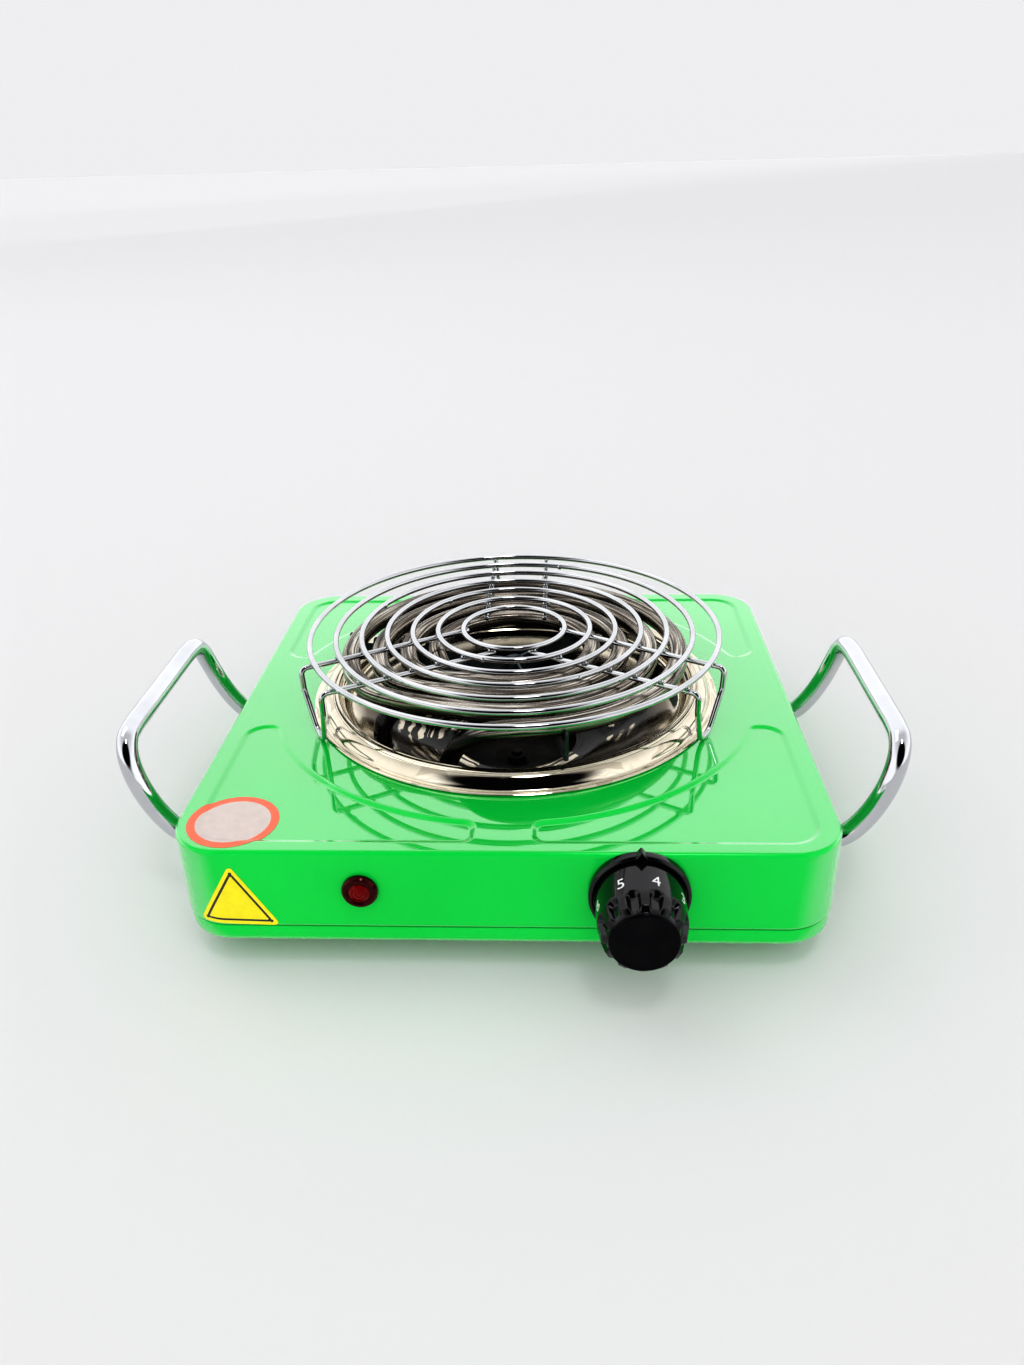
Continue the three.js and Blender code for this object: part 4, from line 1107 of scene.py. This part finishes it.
def knob_radius(h, a):
    """Radius of the knob at a height in front of the cover and an angle: plain skirt, then ribs."""
    ribbed = 15.15 - 0.45 * (h - 4.2) / 12 - 1.0 * eased((h - 17) / 7) - 1.9 * eased((h - 22.6) / 2.0)
    fluted = 12.5 - 0.5 * (h - 17) / 8 - 0.45 * eased((h - 22.6) / 2.0)
    wave = 0.5 + 0.5 * math.cos(RIBS * a)
    flute = eased((h - 16.2 - 1.2 * wave) / 1.8) * (1 - eased((wave - 0.34) / 0.3))
    return ribbed + (min(ribbed, fluted) - ribbed) * flute


def knob():
    count = RIBS * 16
    rings = [circle(KNOB_BORE, count, h) for h in (KNOB_BORE_END, KNOB_BACK)]
    for h in [KNOB_BACK, 4.6, 7, 10, 13, *np.linspace(15.5, 24.4, 36)]:
        angles = [TAU * k / count for k in range(count)]
        rings.append([polar_3d(knob_radius(h, a), a, h) for a in angles])
    face = [(FACE_RADIUS - FACE_ROUND * (1 - c), KNOB_REACH - FACE_ROUND * (1 - s))
            for s, c in quarter(5)[1:]]
    sunk = KNOB_REACH - FACE_SINK
    face += [(10.2, KNOB_REACH), (9.6, sunk), (9.0, sunk), (4.0, sunk)]
    rings += [circle(r, count, h) for r, h in face]
    verts, faces = skin(rings, closed=False, caps=True)
    piece("control_knob", verts, faces, KNOB_AT, "knob", "black_plastic", ["knob"], sharp=40)


def digit_mesh(text, size):
    """A digit as a thin solid, centred on its own middle."""
    curve = bpy.data.curves.new("digit", "FONT")
    curve.body = text
    curve.size = size
    curve.extrude = 0.05
    curve.align_x = "CENTER"
    curve.align_y = "CENTER"
    curve.resolution_u = 6
    temporary = added("digit", curve)
    graph = bpy.context.evaluated_depsgraph_get()
    mesh = bpy.data.meshes.new_from_object(temporary.evaluated_get(graph))
    bm = bmesh.new()
    bm.from_mesh(mesh)
    bmesh.ops.remove_doubles(bm, verts=bm.verts, dist=WELD)
    for x in np.arange(-2.4, 2.5, 0.4):
        geometry = list(bm.verts) + list(bm.edges) + list(bm.faces)
        bmesh.ops.bisect_plane(bm, geom=geometry, plane_co=(x, 0, 0), plane_no=(1, 0, 0))
    bm.verts.index_update()
    verts = [v.co.copy() for v in bm.verts]
    faces = [tuple(v.index for v in f.verts) for f in bm.faces]
    bm.free()
    bpy.data.objects.remove(temporary)
    bpy.data.meshes.remove(mesh)
    return verts, faces


def knob_digits():
    """Digits round the skirt, read from the front, at one step of the dial apart."""
    parts = []
    for value in range(7):
        verts, faces = digit_mesh(str(value), DIGIT_SIZE)
        around = math.radians(90 + DIGIT_STEP * (value - REST_SETTING))
        wrapped = []
        for v in verts:
            h = DIGIT_H - v.y
            r = knob_radius(h, 0) + 0.02 + v.z
            wrapped.append(polar_3d(r, around - v.x / r, h))
        parts.append((wrapped, faces))
    piece("knob_digits", *merged(*parts), KNOB_AT, "knob", "label_white", sharp=40, materials=[WHITE_INK])


def knob_bezel():
    """Fixed plate behind the knob, with a nib that points at the setting."""
    profile = soft_profile([(BEZEL_BORE, 0.3), (BEZEL_RADIUS, 0.3), (BEZEL_RADIUS, 3.0), (16.4, 3.8),
                            (15.9, 3.8), (15.6, 3.3), (BEZEL_BORE, 3.3)], [0, 0.3, 0.7, 0.4, 0.2, 0.3, 0])
    corners = [(-2.3, 16.1), (2.3, 16.1), (0.3, 18.85), (-0.3, 18.85)]
    outline = rounded(corners, [0.2, 0.2, 0.3, 0.3], 5, closed=True)
    nib = plate(anticlockwise(outline), 0.5, 4.0, 0.3)
    part = merged(lathe(profile, 128), nib)
    piece("pointer_plate", *part, KNOB_AT, "root", "black_plastic", ["knob_bezel"])


def lamp():
    """Collar and faceted lens."""
    ring = soft_profile([(0, -6), (4.2, -6), (4.2, 0.3), (6.25, 0.3), (6.25, 1.5), (5.6, 2.5), (4.5, 2.7),
                         (4.1, 2.1), (3.9, 2.1), (0, 2.1)], [0, 0, 0, 0.1, 0.7, 0.5, 0.4, 0.1, 0, 0])
    facets = [(3.75, 2.2), (2.6, 2.9), (2.6, 2.55), (1.3, 3.05), (1.3, 2.75), (0, 3.05)]
    dome = lathe([(0, 2.0), (3.8, 2.0)] + facets, 12)
    piece("lamp_jewel", *merged(lathe(ring, 64), dome), LAMP_AT, "root", "red_lens", ["lamp_lens"], sharp=20)


def gland():
    profile = soft_profile([(3.6, -3.8), (8, -3.8), (8, -1.8), (5.6, -1.8), (5.6, 0.3), (8, 0.3), (7.4, 4),
                            (3.6, 4)], [0.3, 0.4, 0.4, 0, 0, 0.5, 0.9, 0.5])
    piece("cable_bush", *lathe(profile, 64), GLAND_AT, "root", "black_plastic", ["cord_gland"])


# ------------------------------------------------------------------ blank labels
LABEL_RADIUS = 15.9
LABEL_X, LABEL_Y = -94.9, -BACK + 18.2     # centre of the round label
LABEL_WHITE = LABEL_RADIUS - 2.9       # the rim outside it is coral
LABEL_THICK, LABEL_GAP = 0.12, 0.02


def round_label():
    """Disc that follows the cover's relief, as loops from its middle out and back underneath."""
    radii = [0.0, *np.linspace(1.5, LABEL_WHITE, 14), *np.linspace(LABEL_WHITE + 0.4, LABEL_RADIUS, 6)]
    surface = []
    for r in radii:
        loop = [Vector((LABEL_X + p.x, LABEL_Y + p.y, 0)) for p in circle(r, 96)]
        surface.append([Vector((p.x, p.y, TOP - relief(p.x, p.y) + edge_drop(p.x, p.y))) for p in loop])

    def lifted(height):
        return [[p + Vector((0, 0, height)) for p in loop] for loop in surface]

    return skin(lifted(LABEL_THICK) + lifted(LABEL_GAP)[::-1], closed=False, caps=False)


def edge_drop(x, y):
    """Fall of the top face over the fillet, for a point near the body's edge."""
    qx, qy = abs(x) - (SIDE - CORNER), abs(y) - (BACK - CORNER)
    if qx > 0 and qy > 0:
        inset = CORNER - math.hypot(qx, qy)
    else:
        inset = min(SIDE - abs(x), BACK - abs(y))
    if inset >= FILLET:
        return 0.0
    t = min(FILLET, FILLET - inset)
    return math.sqrt(max(FILLET**2 - t**2, 0)) - FILLET


def labels():
    for name, node, slot, part, ink, rule in (
            ("round_label", "top_label", "label_white", round_label(), CORAL_INK, kinds_by_radius),
            ("corner_label", "front_label", "label_yellow", triangle_label(), BLACK_INK, kinds_by_border)):
        made = piece(name, *part, BODY_AT, "root", slot, [node], sharp=50, materials=[MATERIALS[slot], ink])
        paint(made, rule)


def paint(obj, rule):
    """Sets each face's material from its middle, in the body's millimetres."""
    back = BODY_AT.inverted()
    for polygon in obj.data.polygons:
        polygon.material_index = rule(back @ polygon.center)


def kinds_by_radius(p):
    """Coral outside the white disc."""
    return 1 if math.hypot(p.x - LABEL_X, p.y - LABEL_Y) > LABEL_WHITE else 0


TRIANGLE = [(-106.2, -30.0), (-77.2, -30.9), (-92.2, -5.5)]
BORDER_FROM, BORDER_TO = 1.35, 2.2


def along_front(s):
    """Point of the body's plan at a distance along the front, counted from the middle, and its normal."""
    straight = SIDE - CORNER
    if abs(s) <= straight:
        return s, -BACK, 0.0, -1.0
    side = -1 if s < 0 else 1
    a = (abs(s) - straight) / CORNER
    nx, ny = side * math.sin(a), -math.cos(a)
    return side * straight + nx * CORNER, -(BACK - CORNER) + ny * CORNER, nx, ny


def triangle_rows():
    """Rounded triangle as anticlockwise loops that shrink to its middle, in (along, height)."""
    corners = rounded(TRIANGLE, 1.3, 8, closed=True)
    outline = anticlockwise(dense(corners + corners[:1], 1.0)[:-1])
    centre = sum(outline, Vector()) / len(outline)
    insets = [0, 0.4, 0.9, BORDER_FROM, 1.62, 1.9, BORDER_TO]
    loops = [offset_corner(outline, d) for d in insets]
    last = loops[-1]
    for t in (0.2, 0.4, 0.6, 0.8, 0.97):
        loops.append([p.lerp(centre, t) for p in last])
    return loops


def offset_corner(outline, distance):
    """Shrinks the triangle towards its incentre so that each side moves in by a distance."""
    a, b, c = (Vector((*p, 0)) for p in TRIANGLE)
    la, lb, lc = (b - c).length, (c - a).length, (a - b).length
    centre = (a * la + b * lb + c * lc) / (la + lb + lc)
    area = abs((b - a).cross(c - a).z) / 2
    inradius = 2 * area / (la + lb + lc)
    return [centre + (p - centre) * (1 - distance / inradius) for p in outline]


def triangle_label():
    loops = triangle_rows()

    def on_cover(lift):
        made = []
        for loop in loops:
            feet = [(*along_front(p.x), TOP + p.y) for p in loop]
            made.append([Vector((x + nx * lift, y + ny * lift, z)) for x, y, nx, ny, z in feet])
        return made

    return skin(on_cover(LABEL_GAP)[::-1] + on_cover(LABEL_THICK), closed=False, caps=True)


def kinds_by_border(p):
    """Black between two insets of the triangle, yellow elsewhere."""
    straight = SIDE - CORNER
    s = p.x
    if p.x < -straight:
        s = -(straight + CORNER * math.atan2(-(p.x + straight), -(p.y + BACK - CORNER)))
    point = Vector((s, p.z - TOP, 0))
    near = 1e9
    for a, b in zip(TRIANGLE, TRIANGLE[1:] + TRIANGLE[:1]):
        a, b = Vector((*a, 0)), Vector((*b, 0))
        d = (b - a).normalized()
        near = min(near, abs((point - a).cross(d).z))
    return 1 if BORDER_FROM - 0.01 < near < BORDER_TO + 0.01 else 0


# ------------------------------------------------------------------ inner pieces that keep their CAD shape
def finish_cad_nodes():
    slots = {s["node"]: s["material_slot"] for s in frame["record"]["subparts"]}
    for name, obj in frame["nodes"].items():
        obj.data.materials.clear()
        # the shield's bolt and nut get the same near-black painted shade
        obj.data.materials.append(BURNT_SHADE if name in ("shield_bolt", "shield_nut") else MATERIALS[slots[name]])


# ------------------------------------------------------------------ stage, light and camera
# The room that polished parts mirror is bright at the back, has a strip of light overhead and is dark
# where the camera stands. The dome lights matt surfaces, and the backdrop is what the camera sees.
ROOM_SIDES = (1.14, 1.14, 1.16)
ROOM_CEILING = (0.64, 0.64, 0.655)
ROOM_BACK = (1.06, 1.06, 1.08)
ROOM_STRIP = (10, 10, 10.1)
ROOM_OPENING = (0.004, 0.004, 0.005)
DOME_SIDES = (0.39, 0.39, 0.394)
DOME_TOP = (0.475, 0.475, 0.48)
DOME_FRONT = (1.38, 1.38, 1.39)
BACKDROP = (0.615, 0.61, 0.62)


def world():
    made = bpy.data.worlds.new("studio")
    bpy.context.scene.world = made
    made.use_nodes = True
    made.node_tree.nodes.clear()
    sky = Nodes(made.node_tree)
    where = sky.node("ShaderNodeTexCoord", {}).outputs["Generated"]

    def patch(direction, inner, outer):
        """1 towards a direction, falling to 0 between two angles."""
        unit = sky.node("ShaderNodeVectorMath", {0: where}, operation="NORMALIZE").outputs["Vector"]
        sockets = {0: unit, 1: Vector(direction).normalized()}
        dot = sky.node("ShaderNodeVectorMath", sockets, operation="DOT_PRODUCT").outputs["Value"]
        low, high = (math.cos(math.radians(a)) for a in (outer, inner))
        sockets = {"Value": dot, "From Min": low, "From Max": high}
        return sky.node("ShaderNodeMapRange", sockets, interpolation_type="SMOOTHSTEP").outputs["Result"]

    room = sky.blend(patch((0, 0, 1), 20, 75), ROOM_SIDES, ROOM_CEILING)
    room = sky.blend(patch((0, 1, 0.62), 16, 56), room, ROOM_BACK)
    room = sky.blend(patch((0.05, -0.8, 0.6), 30, 44), room, ROOM_OPENING)
    room = sky.blend(patch((0.1, -0.3, 0.95), 5, 6.5), room, ROOM_STRIP)
    dome = sky.blend(patch((0, 0, 1), 10, 85), DOME_SIDES, DOME_TOP)
    dome = sky.blend(patch((0, -1, 0.5), 10, 62), dome, DOME_FRONT)
    path = sky.node("ShaderNodeLightPath", {})
    seen = sky.blend(path.outputs["Is Diffuse Ray"], room, dome)
    shown = sky.blend(path.outputs["Is Camera Ray"], seen, BACKDROP)
    background = sky.node("ShaderNodeBackground", {"Color": shown}).outputs["Background"]
    sky.node("ShaderNodeOutputWorld", {"Surface": background})


def key_light():
    data = bpy.data.lights.new("key", "AREA")
    data.shape = "RECTANGLE"
    data.size, data.size_y = 2.0, 1.4
    data.energy = 6
    place = Vector((-1.4, 0.8, 2.6))
    obj = added("key", data)
    obj.location = place
    obj.rotation_euler = (-place).to_track_quat("-Z", "Y").to_euler()


def floor():
    reach = 30
    corners = [(-reach, -reach, 0), (reach, -reach, 0), (reach, reach, 0), (-reach, reach, 0)]
    mesh = bpy.data.meshes.new("floor")
    mesh.from_pydata(corners, [], [(0, 1, 2, 3)])
    s = Shader("floor", (0.79, 0.785, 0.79), 0.6, specular_ior_level=0.0)
    s.gloss((3, 3), 0.3, 0.7, 0.5, 0.7)
    mesh.materials.append(s.material)
    obj = added("floor", mesh)


def camera():
    """In front and above, turned a little to the left, with the long side upright."""
    data = bpy.data.cameras.new("camera")
    data.sensor_width = 36
    data.lens = 27.1
    obj = added("camera", data)
    pitch, turn, roll = math.radians(27.19), math.radians(3.09), math.radians(1.51)
    forward = Matrix.Rotation(turn, 3, "Z") @ Vector((0, math.cos(pitch), -math.sin(pitch)))
    right = Matrix.Rotation(turn, 3, "Z") @ Vector((1, 0, 0))
    down = forward.cross(right)
    across = right * math.cos(roll) + down * math.sin(roll)
    below = down * math.cos(roll) - right * math.sin(roll)
    basis = Matrix((across, -below, -forward)).transposed()
    obj.matrix_world = Matrix.Translation(CAMERA_PLACE) @ basis.to_4x4()
    bpy.context.scene.camera = obj


CAMERA_PLACE = Vector((19.8, cover_lo.y - 274.6, TOP + 204.7)) * MM


# ------------------------------------------------------------------ build
camera()
finish_cad_nodes()
top_cover()
bottom_tray()
feet_and_screws()
drip_pan()
heating_coil()
coil_support()
coil_bushes()
heat_shield()
grate_rings()
grate_legs()
handles()
knob()
knob_digits()
knob_bezel()
lamp()
gland()
labels()
world()
floor()
key_light()
bpy.context.scene.view_settings.view_transform = "Standard"
bpy.context.scene.view_settings.look = "High Contrast"
